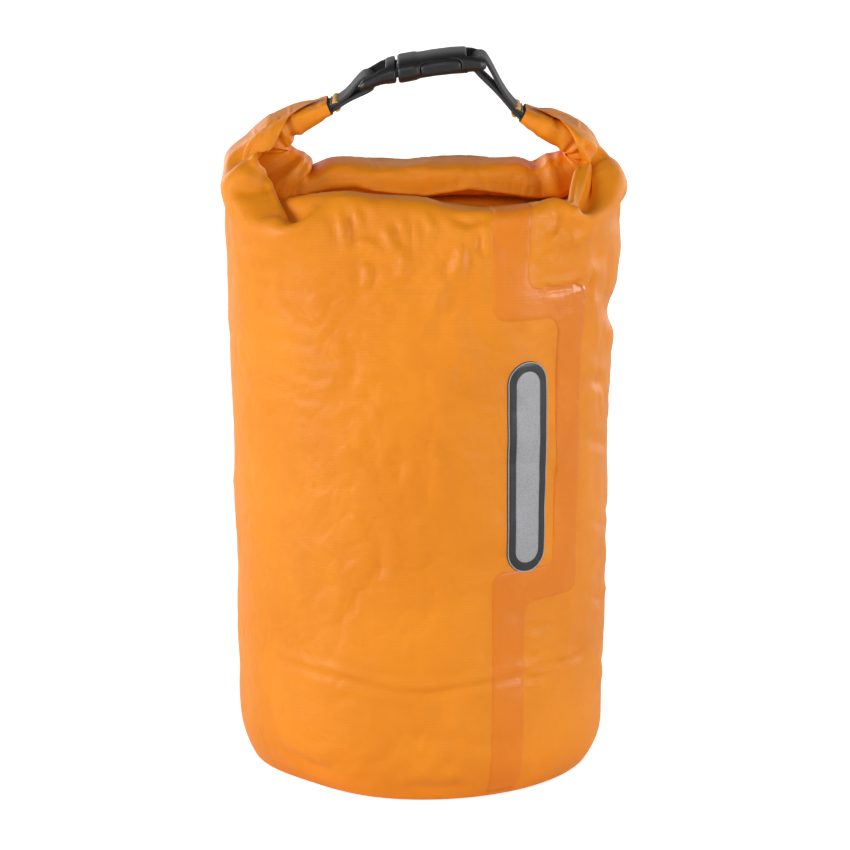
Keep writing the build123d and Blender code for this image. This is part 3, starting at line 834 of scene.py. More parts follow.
def crumple(seed, count, box, lengths, depth, lie):
    r = np.random.default_rng(seed)
    for _ in range(count):
        u, v = r.uniform(box[0], box[1]), r.uniform(box[2], box[3])
        if lie == "up":
            angle = r.normal(math.pi / 2, 0.5)
        elif lie == "flat":
            angle = r.normal(0, 0.35)
        else:
            angle = r.uniform(0, math.pi)
        length = r.uniform(*lengths)
        bend = r.normal(0, 0.25) * length * 0.4
        c, s = math.cos(angle), math.sin(angle)
        half_u, half_v = c * length / 2, s * length / 2
        points = [(u - half_u, v - half_v), (u - s * bend, v + c * bend),
                  (u + half_u, v + half_v)]
        deep = r.uniform(0.25, 1.0) * depth * (1 if r.random() < 0.6 else -0.8)
        width = r.uniform(0.12, 0.24) * length * 0.6 + 0.8
        crease(points, deep, width, sharp=0.5, shoulder=0.3)


def body_cylinder(radius, height):
    """Noise coordinates round the body: circle radius, and millimetres of v per unit."""
    angle = GRID_U.ravel() / CIRC * 2 * math.pi
    return np.stack([np.sin(angle) * radius, -np.cos(angle) * radius,
                     GRID_V.ravel() / height], 1)


def soft_contents():
    """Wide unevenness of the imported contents."""
    ring = body_cylinder(2.6, 24.0)
    waves = value_noise(ring, 5) * 0.55 + value_noise(ring * 2.3, 9) * 0.28
    fade = np.interp(v_mm, [0, 10, 30, 190, 215, 248], [0, 0.6, 1, 1, 0.5, 0])
    return waves.reshape(NU, NV) * fade[None]


def fine_crinkle():
    """Thin sunk lines, strongest up the middle of the front."""
    p = body_cylinder(7.0, 9.0)
    warp = np.stack([value_noise(p * 0.5, seed) for seed in (21, 22, 23)], 1) * 0.9
    wide, fine = np.abs(value_noise(p + warp, 24)), np.abs(value_noise(p * 1.9 + warp, 25))
    lines = np.clip(0.24 - wide, 0, 1) * 1.5 + np.clip(0.2 - fine, 0, 1) * 0.8
    middle = np.exp(-(((GRID_U + 8) / 30) ** 2))
    where = (middle * np.interp(v_mm, [40, 60, 165, 195], [0, 1, 1, 0.3])[None]
             + 0.22 * np.interp(v_mm, [5, 20, 190, 205], [0, 1, 1, 0])[None])
    return lines.reshape(NU, NV) * where


def front_crest():
    """The front rim: highest points along a direction leaning 15 degrees to the rear."""
    lean_y, lean_z = 0.261, 0.965
    crest = []
    for u in np.arange(-46, 52, 4.5):
        i = int(round((u + CIRC / 2) / DU)) % NU
        height = body[i, :, 1] * lean_y + body[i, :, 2] * lean_z
        j = int(np.argmax(np.where((v_mm > 194) & (v_mm < 214), height, -1e9)))
        crest.append((u, v_mm[j]))
    return crest


lift += soft_contents()
for fold_depth, fold_width, *places in FOLDS:
    crease(np.reshape(places, (-1, 2)), fold_depth * FOLD_DEPTH, fold_width * FOLD_WIDTH,
           sharp=0.75, shoulder=0.3)
lift -= fine_crinkle()
for row in CRUMPLES:
    crumple(*row)

# the lower edge is pushed in a little at the front left
dent = np.exp(-(((GRID_U + 48) / 24) ** 2) - (GRID_V / 12) ** 2)
body[..., :2] *= (1 - 0.062 * dent)[..., None]
normals = grid_normals(body)
# the two shoulders beside the roll are pulled nearly flat
for u0, v0, height in SHOULDERS:
    lift += height * np.exp(-(((GRID_U - u0) / 8.0) ** 2) - ((GRID_V - v0) / 7.0) ** 2)
crease(front_crest(), depth=-0.7, width=1.3, sharp=0.8, shoulder=0.5)
for wing in WING_LINES:
    crease(wing, depth=-0.8, width=1.4, sharp=0.8, shoulder=0.5)
edge_fade = np.interp(v_mm, [0, 3, 238, 246], [0, 1, 1, 0])
body = body + normals * (lift * edge_fade[None])[..., None]
normals = grid_normals(body)


def sheet_part(name, keep):
    """Mesh of the kept cells of the body's grid."""
    i, j = np.nonzero(keep)
    right = (i + 1) % NU
    quads = np.stack([i * NV + j, right * NV + j, right * NV + j + 1, i * NV + j + 1], 1)
    corners = ((i, j), (i + 1, j), (i + 1, j + 1), (i, j + 1))
    uv = np.stack([np.stack([a * DU, b * DV], 1) for a, b in corners], 1)
    used, index = np.unique(quads, return_inverse=True)
    ob = make_mesh(name, body.reshape(-1, 3)[used], index.reshape(quads.shape),
                   uv.reshape(-1, 2), normals.reshape(-1, 3)[used])
    dress(ob, "coated_fabric")
    return ob


def build_fabric():
    """The bag, and the two gussets that follow the ends of the roll."""
    z = body[..., 2]
    side_top = np.maximum(z[:, :-1], z[:, 1:])
    high = np.maximum(side_top, np.roll(side_top, -1, 0)) > SPLIT_Z
    left = (body[:, :-1, 0] + body[:, 1:, 0]) / 2 < 0
    bag = sheet_part("bag_body", ~high)
    attach(bag, "middle")
    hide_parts("bag_wall")
    attach(sheet_part("left_gusset", high & left), "left")
    attach(sheet_part("right_gusset", high & ~left), "right")


def build_base():
    """The round base panel, a little uneven, in rings from its edge to a centre point."""
    rings, around, centre_z = 25, NU // 2, 1.4
    edge = body[::2, 0]
    middle = edge.mean(0)
    points = []
    for k in range(rings, 0, -1):
        share = (k / rings) ** 0.8
        p = middle + (edge - middle) * share
        radius = np.linalg.norm(p[:, :2], axis=1)
        dome = np.interp(radius, [0, 30, 50, BASE_R], [centre_z, 1.1, 0.35, 0.6])
        flat = np.stack([p[:, 0] / 14, p[:, 1] / 14, np.zeros(around)], 1)
        uneven = value_noise(flat, 31) * 0.35 * (1 - share**6)
        p[:, 2] = np.maximum(dome + uneven, 0.3)
        points.append(p)
    points = np.vstack([np.stack(points, 1).reshape(-1, 3), [[0, 0, centre_z]]])
    centre = len(points) - 1
    faces, fan = [], []
    for i in range(around):
        here, there = i * rings, (i + 1) % around * rings
        for j in range(rings - 1):
            faces.append((here + j + 1, there + j + 1, there + j, here + j))
        fan.append((here + rings - 1, centre, there + rings - 1))
    faces += fan
    uv = [points[corner][:2] for face in faces for corner in face]
    disc = make_mesh("base_disc", points, faces, uv)
    dress(disc, "base_fabric")
    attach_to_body(disc, "bag")
    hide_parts("base_panel")


build_fabric()
build_base()

# ============================ 6. Flat pieces on the fabric ============================
# corners of the seam overlap: u, v, corner radius
SEAM = [
    (24.2, 1.5, 0), (24.2, 79.5, 4.2), (48.6, 79.5, 2.0), (48.6, 163.5, 5.0),
    (24.2, 163.5, 4.5), (24.2, 236.0, 0), (36.2, 236.0, 0), (36.2, 174.0, 4.0),
    (60.6, 174.0, 4.2), (60.6, 68.0, 4.2), (36.0, 68.0, 5.0), (36.0, 1.5, 0),
]
LABEL_U, LABEL_V = 36.8, 114.2


def on_body(u, v, off):
    """Points of the fabric at (u, v), raised by off."""
    fu = (u + CIRC / 2) / DU
    fv = np.clip(v / DV, 0, NV - 1.001)
    i, j = np.floor(fu).astype(int), np.floor(fv).astype(int)
    a, b = (fu - i)[:, None], (fv - j)[:, None]
    i0, i1 = i % NU, (i + 1) % NU

    def between(grid):
        return ((grid[i0, j] * (1 - a) + grid[i1, j] * a) * (1 - b)
                + (grid[i0, j + 1] * (1 - a) + grid[i1, j + 1] * a) * b)

    return between(body) + unit(between(normals)) * off.reshape(-1, 1)


def rounded(corners, step=0.8):
    """Closed outline through (u, v, radius) corners, sampled every step."""
    P = [Vector(corner[:2]) for corner in corners]
    out, n = [], len(P)
    for i in range(n):
        a, b, c = P[i - 1], P[i], P[(i + 1) % n]
        r = corners[i][2]
        d1, d2 = (a - b).normalized(), (c - b).normalized()
        angle = math.acos(max(-1, min(1, d1.dot(d2))))
        if r <= 0 or angle > 3.1:
            out.append(b)
            continue
        cut = min(r / math.tan(angle / 2), (a - b).length * 0.49, (c - b).length * 0.49)
        r = cut * math.tan(angle / 2)
        start, end = b + d1 * cut, b + d2 * cut
        centre = b + (d1 + d2).normalized() * (r / math.sin(angle / 2))
        a1, a2 = math.atan2(*(start - centre).yx), math.atan2(*(end - centre).yx)
        turn = (a2 - a1 + math.pi) % (2 * math.pi) - math.pi
        k = max(2, int(abs(turn) * r / step))
        for q in range(k + 1):
            at = a1 + turn * q / k
            out.append(centre + Vector((math.cos(at), math.sin(at))) * r)
    fine = []
    for i, p in enumerate(out):
        q = out[(i + 1) % len(out)]
        k = max(1, int((q - p).length / step))
        fine += [p + (q - p) * (m / k) for m in range(k)]
    return np.array([(p.x, p.y) for p in fine])


def inside(outline, points):
    x, y = points[:, 0], points[:, 1]
    result = np.zeros(len(points), bool)
    for (x1, y1), (x2, y2) in zip(outline, np.roll(outline, -1, 0)):
        crossing = (x2 - x1) * (y - y1) / (y2 - y1 + 1e-12) + x1
        result ^= ((y1 > y) != (y2 > y)) & (x < crossing)
    return result


def edge_distance(outline, points):
    best = np.full(len(points), 1e9)
    for p, q in zip(outline, np.roll(outline, -1, 0)):
        d = q - p
        t = np.clip(((points - p) @ d) / (d @ d + 1e-12), 0, 1)
        best = np.minimum(best, np.linalg.norm(points - p - t[:, None] * d, axis=1))
    return best


def patch(name, material, outline, top, step, rim, holes=(), low=0.03):
    """A thin piece bounded by an outline in (u, v), top mm proud with a rounded rim."""
    loops = [outline] + list(holes)

    def within(points):
        ok = inside(outline, points)
        for hole in holes:
            ok &= ~inside(hole, points)
        return ok

    def to_edge(points):
        return np.min([edge_distance(loop, points) for loop in loops], 0)

    lo, hi = outline.min(0), outline.max(0)
    gx, gy = np.meshgrid(np.arange(lo[0], hi[0], step), np.arange(lo[1], hi[1], step),
                         indexing="ij")
    grid = np.stack([gx.ravel(), gy.ravel()], 1)
    grid = grid[within(grid)]
    grid = grid[to_edge(grid) > step * 0.55]
    # a second ring just inside each edge carries the rounded rim
    verts, edges = [], []
    for loop in loops:
        t = np.roll(loop, -1, 0) - np.roll(loop, 1, 0)
        across = np.stack([-t[:, 1], t[:, 0]], 1) / (np.linalg.norm(t, axis=1)[:, None] + TINY)
        k = len(verts)
        verts += loop.tolist()
        edges += [(k + i, k + (i + 1) % len(loop)) for i in range(len(loop))]
        for side in (1, -1):
            ring = loop + across * side * rim * 0.5
            good = within(ring)
            if good.mean() > 0.6:
                verts += ring[good].tolist()
    verts += grid.tolist()
    filled = delaunay_2d_cdt([Vector(p) for p in verts], edges, [], 0, 1e-5)
    P = np.array([(p.x, p.y) for p in filled[0]])
    tri = np.array([f for f in filled[2] if len(f) == 3])
    tri = tri[within(P[tri].mean(1))]
    a, b, c = P[tri].transpose(1, 2, 0)
    area = (b[0] - a[0]) * (c[1] - a[1]) - (b[1] - a[1]) * (c[0] - a[0])
    tri[area < 0] = tri[area < 0][:, ::-1]
    tri = tri[np.abs(area) > 1e-6]
    t = np.clip(to_edge(P) / rim, 0, 1)
    height = low + (top - low) * np.sqrt(np.clip(1 - (1 - t) ** 2, 0, 1))
    points = on_body(P[:, 0], P[:, 1], height)
    used, index = np.unique(tri, return_inverse=True)
    ob = make_mesh(name, points[used], index.reshape(tri.shape), P[tri].reshape(-1, 2))
    dress(ob, material)
    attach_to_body(ob, "bag")
    return ob


def label_outline(width, length, step=0.5):
    """An upright shape with fully rounded ends, centred on the label."""
    r, half = width / 2, length / 2
    signs = ((-1, -1), (1, -1), (1, 1), (-1, 1))
    return rounded([(LABEL_U + a * r, LABEL_V + b * half, r * 0.999) for a, b in signs], step)


seam = patch("seam_overlap", "seam_fabric", rounded(SEAM), top=0.28, step=1.3, rim=0.5)
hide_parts("side_seam_overlap")
label = patch("label_base", "label_film", label_outline(15.2, 71.4, 0.7),
              top=0.42, step=1.2, rim=0.35)
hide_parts("label_patch")
patch("label_border", "reflective_film", label_outline(14.9, 71.1),
      top=0.50, step=0.9, rim=0.2, holes=[label_outline(14.1, 70.3)], low=0.44)
panel = patch("label_panel", "reflective_film", label_outline(9.0, 64.6),
              top=0.52, step=0.9, rim=0.25, low=0.42)
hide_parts("label_reflector")

# ============================ 7. The roll ============================
# inner side of the two bends, where the cloth bunches up: distance along the roll, x, z
BENDS = (
    [(14.0, -41.6, 213.8), (16, -42.9, 212.9), (18.0, -43.6, 211.9), (21.0, -44.0, 211.0),
     (24.0, -44.2, 210.3), (26.5, -44.2, 209.9), (29.0, -43.5, 209.7), (32.0, -42.2, 209.4),
     (36.0, -40.8, 208.5), (40.0, -39.7, 207.4), (44.0, -38.9, 206.3), (48.0, -38.1, 205.1),
     (51.0, -37.4, 203.9), (54.0, -36.8, 202.6)],
    [(126.0, 35.0, 203.9), (128.6, 37.5, 204.6), (130.6, 39.4, 205.6), (133.5, 41.8, 206.7),
     (138.0, 45.0, 207.3), (142.0, 47.2, 207.6), (146.0, 47.9, 207.9), (150.0, 48.2, 208.2),
     (154.0, 48.3, 208.6), (157.0, 48.1, 209.0), (160.0, 47.3, 209.6), (162.4, 46.0, 210.6),
     (165.0, 44.2, 212.1), (167.5, 41.9, 213.6)],
)
# how much fuller the top is than the half thickness, by distance along the roll
FULL_AT = [0, 50, 56, 60, 66, 72, 80, 86, 92, 98, 105, 110, 114, 118, 122, 126, 132, 178]
FULL_BY = [0, 1.2, 1.5, 2.2, 2.0, 1.1, 1.4, 1.7, 2.3, 2.3, 2.1, 1.5, 1.8, 2.3, 3.0, 3.2, 1.5, 0]
# the straight stretch rises and dips a little: x, height
RISE_X = [-46, -38, -28, -20, -7, 6, 20, 30, 37, 44, 50]
RISE_BY = [0.2, -1.2, 0.7, 0.9, 0.0, 0.3, 0.6, 0.2, -1.4, 0.7, 0.0]
# cross folds: distance along the roll, slant, depth, width
CROSS_FOLDS = [
    (3.0, 0.8, 0.3, 0.9), (14.5, 0.5, 1.3, 1.2), (19.5, -2.2, 0.7, 1.1), (26.5, 0.6, 1.9, 1.2),
    (48.0, 3.0, 0.5, 1.8), (57.0, 2.0, 0.4, 2.4), (78.0, 2.0, 0.35, 1.6),
    (104.0, -3.0, 0.4, 1.5), (112.0, 2.0, 0.3, 1.2), (127.0, 2.0, 0.4, 1.4),
    (131.5, 2.0, 1.5, 2.3), (137.5, 1.0, 0.5, 1.4), (149.0, -1.0, 1.3, 1.3),
    (154.0, 1.0, 1.3, 1.1), (158.5, -1.0, 0.9, 1.0), (165.0, 2.0, 0.7, 1.6),
    (171.0, -1.2, 0.4, 1.0),
]
# height of the hem's lip along the front: x, offset from LIP_Z
LIP_Z = 198.6
LIP_X = [-46, -36.7, -29, -21.8, -13.6, 1.4, 16.3, 26.2, 46.1]
LIP_BY = [-4.4, -2.0, -0.4, 0.1, -1.6, -3.2, -0.6, -2.0, -4.8]

ROLL_RINGS, ROLL_AROUND = 301, 72
ROLL = roll_line(ROLL_RINGS)
ALONG = np.linspace(0, ROLL.length, ROLL_RINGS)
PHASE = np.arange(ROLL_AROUND) / ROLL_AROUND * 2 * math.pi     # 0 at the rear, 90 at the top


def cut_ring(x, first, last):
    """Ring of the straight stretch nearest to x."""
    mid = ROLL.mid[first:last]
    return first + int(np.argmin(np.abs(mid[:, 0] - x) + 10 * (mid[:, 1] > 201)))


CUT_L, CUT_R = cut_ring(-46.0, 0, 150), cut_ring(46.0, 150, ROLL_RINGS)


def sweep_roll():
    """Flattened rings, fuller above the line than below it."""
    rise = np.interp(ROLL.mid[:, 0], RISE_X, RISE_BY) * (np.abs(ROLL.share) < 0.6)
    reach = ROLL.half + rise + np.interp(ALONG, FULL_AT, FULL_BY)
    top = ROLL.mid - ROLL.outward * reach[:, None]
    for bend in BENDS:
        at, x, z = np.array(bend).T
        w = np.clip(np.minimum(ALONG - at[0], at[-1] - ALONG) / 3.0, 0, 1)
        w = (w * w * (3 - 2 * w))[:, None]
        inner = np.stack([np.interp(ALONG, at, x), np.interp(ALONG, at, z)], 1)
        top = top * (1 - w) + inner * w
    for _ in range(6):
        top[1:-1] = top[1:-1] * 0.5 + (top[2:] + top[:-2]) * 0.25
    c, s = np.cos(PHASE), np.sin(PHASE)
    across = np.sign(c) * np.abs(c) ** 0.55
    upward = np.sign(s) * np.abs(s) ** 0.62
    rings = np.zeros((ROLL_RINGS, ROLL_AROUND, 3))
    rings[..., 1] = across * (ROLL.width / 2)[:, None]
    for axis, part in ((0, 0), (2, 1)):
        mid = ROLL.mid[:, part, None]
        low = -ROLL.outward[:, part, None] * (np.minimum(upward, 0) * ROLL.half[:, None])
        rings[..., axis] = mid + low + (top[:, part, None] - mid) * np.maximum(upward, 0)
    return rings


def tube_normals(x):
    du = np.empty_like(x)
    du[1:-1] = x[2:] - x[:-2]
    du[0], du[-1] = x[1] - x[0], x[-1] - x[-2]
    n = np.cross(np.roll(x, -1, 1) - np.roll(x, 1, 1), du)
    return n / (np.linalg.norm(n, axis=2)[..., None] + TINY)


def roll_bumps(arm):
    """Height of bunches, ridges, cross folds and lobes over the swept roll."""
    at, sine = ALONG[:, None], np.sin(PHASE)[None]
    q = np.stack([np.repeat(ALONG, ROLL_AROUND) / 9.0,
                  np.tile(np.cos(PHASE) * 1.6, ROLL_RINGS),
                  np.tile(np.sin(PHASE) * 0.8, ROLL_RINGS)], 1)
    shape = (ROLL_RINGS, ROLL_AROUND)
    bumps = value_noise(q, 3) * 0.40 + value_noise(q * 2.2 + 7, 4) * 0.18
    bumps = bumps.reshape(shape)
    skew = np.stack([q[:, 0] * 2.6 + q[:, 1] * 0.8, q[:, 1], q[:, 2]], 1)
    ridge = value_noise(skew, 8).reshape(shape)
    bumps -= np.clip(0.2 - np.abs(ridge), 0, 1) * 0.9 * (1 - 0.7 * arm)
    # cross folds are weaker at the rear
    facing = (0.35 + 0.65 * (np.cos(PHASE) < 0.35))[None]
    for start, slant, depth, width in CROSS_FOLDS:
        off = (at - start + slant * sine) / (width * 1.15)
        profile = np.exp(-off**2) - 0.35 * np.exp(-((np.abs(off) - 1.7) / 0.7) ** 2)
        bumps -= depth * 0.6 * profile * facing
    # the lobe at the left bend ends in a loose edge over the straight stretch
    edge = 49.0 + 4.0 * sine
    bumps += 1.3 * np.clip((edge - at) / 0.9, 0, 1) * np.clip((at - 36) / 9, 0, 1)
    # a knob on the left end, and fuller cloth on both ends
    knob = (np.clip((at - 14.6 - 0.5 * sine) / 0.7, 0, 1)
            * np.clip((26.6 + 1.2 * sine - at) / 0.8, 0, 1))
    bumps += knob * 0.6 * (1.15 - 0.04 * (at - 15))
    bumps += np.interp(at, [0, 3, 13.5, 14.4, 15], [0.0, 0.1, 0.7, 0.7, 0.0])
    last = ALONG[-1]
    return bumps + np.interp(at, [155, 158, 168, last - 2, last], [0, 0.6, 0.9, 0.15, 0.0])


def shape_roll():
    arm = np.interp(ALONG, [0, 38, 46, 133, 140, ALONG[-1]], [1, 1, 0, 0, 1, 1])[:, None]
    roll = sweep_roll()
    roll = roll + tube_normals(roll) * roll_bumps(arm)[..., None]
    y = roll[..., 1]
    # the front face is sunk at both bends
    pit = np.interp(ALONG, [27, 29, 33, 38, 42, 137, 140, 145, 149, 151],
                    [0, 2.4, 3.2, 2.4, 0, 0, 1.4, 1.8, 1.4, 0])[:, None]
    y += pit * np.clip(-y / 9, 0, 1)
    # the hem of the last turn: a lip along the front, the rest tucked in under it
    over_lip = roll[..., 2] - (LIP_Z + np.interp(roll[..., 0], LIP_X, LIP_BY))
    under = np.clip(-over_lip / 1.1, 0, 1) * (y < 0) * (1 - arm)
    y += under * under * (3 - 2 * under) * 2.4 * np.clip(-y / 8, 0, 1)
    y -= np.exp(-(((over_lip - 0.5) / 0.8) ** 2)) * 0.5 * (y < -6) * (1 - arm)
    return roll


roll = shape_roll()
roll_normals = tube_normals(roll)


def roll_part(name, first, last):
    middle = roll[ROLL_RINGS // 2]
    girth = np.linalg.norm(np.roll(middle, -1, 0) - middle, axis=1).sum()
    uv = []
    for i in range(first, last):
        a, b = ALONG[i], ALONG[i + 1]
        for j in range(ROLL_AROUND):
            c, d = j * girth / ROLL_AROUND, (j + 1) * girth / ROLL_AROUND
            uv += [(a, c), (a, d), (b, d), (b, c)]
    ob = make_mesh(name, roll[first:last + 1].reshape(-1, 3),
                   ring_quads(last - first + 1, ROLL_AROUND), uv,
                   roll_normals[first:last + 1].reshape(-1, 3))
    dress(ob, "coated_fabric")
    return ob


def strip_part(name, first, last):
    """A stretch of the flat stiffener strip inside the roll."""
    points = []
    for k in range(first, last + 1):
        # narrower round the bends
        half = np.interp(k, (CUT_L, CUT_L + 12, CUT_R - 12, CUT_R), (6.0, 8.0, 8.0, 6.0))
        (x, z), (out_x, out_z) = ROLL.mid[k], ROLL.outward[k]
        for y, n in ((-half, -0.4), (-half, 0.4), (half, 0.4), (half, -0.4)):
            points.append((x - out_x * n, y, z - out_z * n))
    count = last - first + 1
    end = (count - 1) * 4
    faces = [(3, 2, 1, 0)] + ring_quads(count, 4) + [(end, end + 1, end + 2, end + 3)]
    ob = make_mesh(name, points, faces, smooth=False)
    dress(ob, "stiffener_plastic")
    return ob


for part, first, last, node in (("middle", CUT_L, CUT_R, "rolled_collar"),
                                ("left", 0, CUT_L, "left_roll_end"),
                                ("right", CUT_R, ROLL_RINGS - 1, "right_roll_end")):
    piece = roll_part("roll_" + part, first, last)
    attach(piece, part)
    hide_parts(node)
for part, first, last in (("middle", CUT_L, CUT_R), ("left", 40, CUT_L),
                          ("right", CUT_R, 260)):
    piece = strip_part("strip_" + part, first, last)
    attach(piece, part)
    if part == "middle":
        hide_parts("stiffener_strip")

# ============================ 8. Webbing loops and stitches ============================
TILT = math.radians(5.5)        # the buckle rises towards +X
MOUTH = (-7.5, 235.6)           # (x, z) of the socket's mouth


def along_buckle(u, n):
    """(x, z) at u along the buckle from the socket's mouth, n above its middle."""
    return np.array([MOUTH[0] + u * math.cos(TILT) - n * math.sin(TILT),
                     MOUTH[1] + u * math.sin(TILT) + n * math.cos(TILT)])


PLUG_BAR, SOCKET_BAR = (-10.6, -2.2), (27.2, 0.6)        # (u, n) of the webbing bars
STRAP_THICK, STRAP_WIDE = 1.2, 15.0
STRAP_RINGS, STRAP_STEPS = 150, 22


def webbing_end(side, root, degrees, turn, **loop):
    """Direction out of the roll's end, and the strap's face normal; turn mirrors it."""
    a = math.radians(degrees)
    out = np.array([math.cos(a), math.sin(a)])
    normal = np.array([-out[1], out[0]]) * turn
    return SimpleNamespace(side=side, root=np.array(root), out=out, normal=normal, turn=turn,
                           **loop)


# bar radius, reach to where the runs part, and where the strap starts to follow the buckle
ENDS = (
    webbing_end("left", ROOT_LEFT, 24.0, 1, buckle="plug", bar=along_buckle(*PLUG_BAR),
                radius=1.6, reach=6.6, blend_start=(-27.0, 225.5)),
    webbing_end("right", ROOT_RIGHT, 147.0, -1, buckle="socket",
                bar=along_buckle(*SOCKET_BAR), radius=1.75, reach=9.6,
                blend_start=(31.0, 223.4)),
)


def loop_path(end):
    """From inside the roll's end over the bar and back, both runs meeting above the root."""
    root, out, normal = end.root, end.out, end.normal
    knee = root + out * 3.4
    ahead = end.bar - knee
    ahead /= np.linalg.norm(ahead)
    side = np.array([-ahead[1], ahead[0]]) * end.turn
    far = knee + ahead * max(end.reach - 3.4, 0.6)
    radius = end.radius + STRAP_THICK / 2
    arc = []
    for k in range(9):
        t = math.radians(100 - 200 * k / 8)
        arc.append(end.bar + ahead * radius * math.cos(t) + side * radius * math.sin(t))
    first, last = ((far + s * side * 0.66) * 0.45 + p * 0.55 for s, p in
                   ((1, arc[0]), (-1, arc[-1])))
    tail, neck = root - out * 8, root + out * 1.6
    return ([tail + normal * 0.62, neck + normal * 0.63, far + side * 0.66, first] + arc
            + [last, far - side * 0.66, neck - normal * 0.63, tail - normal * 0.62])


def strap(name, path):
    """A flat strap down a path of (x, z) points, with rounded selvedges."""
    mid, length = spline(path, STRAP_RINGS)
    tangent = unit(np.gradient(mid, axis=0))
    face = [(-STRAP_WIDE / 2 + STRAP_WIDE * k / STRAP_STEPS) for k in range(STRAP_STEPS + 1)]
    heights = []
    for y in face:
        e = min(1.0, (STRAP_WIDE / 2 - abs(y)) / 0.8)
        bulge = math.sqrt(max(0.0, 1 - (1 - e) ** 2))
        heights.append(STRAP_THICK / 2 * (bulge * 0.94 + 0.06))
    ys = np.array(face + face[::-1])
    hs = np.array(heights + [-h for h in reversed(heights)])
    around = len(ys)
    points = np.zeros((STRAP_RINGS, around, 3))
    points[..., 0] = mid[:, :1] - tangent[:, 1:] * hs
    points[..., 1] = ys
    points[..., 2] = mid[:, 1:] + tangent[:, :1] * hs
    faces = [(a, d, c, b) for a, b, c, d in ring_quads(STRAP_RINGS, around)]
    end = (STRAP_RINGS - 1) * around
    faces += [tuple(range(around)), tuple(end + j for j in reversed(range(around)))]
    spot = [(i * length / (STRAP_RINGS - 1), y) for i in range(STRAP_RINGS) for y in ys]
    uv = [spot[corner] for face_ in faces for corner in face_]
    ob = make_mesh(name, points.reshape(-1, 3), faces, uv)
    dress(ob, "webbing")
    return ob


def add_stitch(verts, faces, centre, heading, up, length, radius, around=8, rings=7):
    """One short thread lying along its heading, its ends dipping into the cloth."""
    centre, heading = Vector(centre), Vector(heading).normalized()
    up = Vector((up[0], 0, up[1]))
    side = heading.cross(up).normalized()
    base = len(verts)
    for k in range(rings):
        t = k / (rings - 1) * 2 - 1
        c = (centre + heading * (t * length / 2)
             + up * (radius * 0.9 * (1 - t * t) - radius * 0.25))
        r = radius * math.sqrt(max(0.05, 1 - abs(t) ** 3.5))
        for j in range(around):
            a = j / around * 2 * math.pi
            verts.append(tuple(c + side * (r * math.cos(a)) + up * (r * math.sin(a))))
    faces += ring_quads(rings, around, base)
    faces.append(tuple(base + j for j in reversed(range(around))))
    faces.append(tuple(base + (rings - 1) * around + j for j in range(around)))


def stitch_row(end, name, node, material, count, half_span, forward, height, headings,
               length, radius, jitter=0.0):
    """A row across both faces of the strap; headings (along, across) alternate."""
    verts, faces = [], []
    for face in (1, -1):
        for k in range(count):
            y = -half_span + 2 * half_span * k / (count - 1)
            ahead = forward + (rng.normal(0, jitter) if jitter else 0)
            x, z = end.root + end.out * ahead + end.normal * face * height
            along, across = headings[k % 2]
            heading = (along * end.out[0], across, along * end.out[1])
            add_stitch(verts, faces, (x, y, z), heading, end.normal * face, length, radius)
    ob = make_mesh(f"{end.side}_{name}", verts, faces)
    dress(ob, material)
    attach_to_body(ob, end.side + "_end")
    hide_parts(f"{end.side}_{node}")


for end in ENDS:
    loop = strap(end.side + "_strap", loop_path(end))
    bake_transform(loop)
    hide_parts(end.side + "_webbing")

rng = np.random.default_rng(77)
for end in ENDS:
    stitch_row(end, "tack", "bar_tack", "tack_thread", count=17, half_span=6.9, forward=2.6,
               height=1.29, headings=((1, -0.42), (1, 0.42)), length=2.3, radius=0.36,
               jitter=0.06)
    stitch_row(end, "root_stitches", "root_stitching", "root_thread", count=8, half_span=6.6,
               forward=1.1, height=1.26, headings=((0.15, 1), (0.15, 1)), length=1.25,
               radius=0.2)

# ============================ 9. Buckle ============================
# Sections along the buckle: u, half width, half height, and for the plug the centre's height
SHELL = [
    (0, 10.2, 3.7), (0.4, 10.65, 4.05), (1.2, 10.8, 4.2), (5.4, 10.8, 4.15), (6.2, 10.6, 4.0),
    (7.0, 10.25, 3.78), (12, 10.2, 3.8), (18, 10.2, 3.86), (22, 10.1, 3.84), (25, 9.9, 3.6),
    (27.5, 9.4, 3.2), (29.0, 8.6, 2.6), (29.5, 8.0, 1.9),
]
HOLLOW = [(-1, 9.1, 2.6), (5, 9.1, 2.3), (12, 8.7, 2.1), (21.6, 8.5, 2.0)]
PLUG = [
    (-13.2, 8.4, 1.5, -2.6), (-12.8, 9.3, 2.1, -2.5), (-11.6, 9.9, 2.6, -2.0),
    (-9, 10.2, 2.95, -1.2), (-6, 10.4, 3.35, -0.1), (-3, 10.6, 3.75, 0.5),
    (-1.2, 10.6, 3.9, 0.7), (-0.8, 10.2, 3.55, 0.72),
]
# Sections of a latch: u, half width, half height, u at which the arch is read
PAD = [
    (7.7, 0.75, 1.45, 7.7), (8.1, 1.05, 1.8, 8.1), (9.2, 1.3, 2.15, 9.2),
    (11.5, 1.5, 2.38, 11.5), (14, 1.55, 2.42, 14), (16.5, 1.5, 2.38, 16.5),
    (19.2, 1.3, 2.1, 18.6), (20.4, 1.0, 1.7, 20.2), (20.9, 0.7, 1.3, 20.8),
]
ARM = [(-1.8, 0.75, 1.5, 0), (4, 0.7, 1.4, 4), (9, 0.7, 1.4, 9), (12, 0.7, 1.4, 12)]
PAD_Y, ARM_Y = 9.35, 8.3
ARCH_U = [-13, -9, -5, 0, 6, 14, 20, 25, 29.5]
ARCH_N = [-2.7, -1.3, 0.2, 0.8, 1.3, 1.9, 1.9, 1.5, 0.6]


def arch(u):
    """The buckle is moulded to a slight arch."""
    return float(np.interp(u, ARCH_U, ARCH_N))


def place(u, y, n):
    x, z = along_buckle(u, n)
    return (x * MM, y * MM, z * MM)


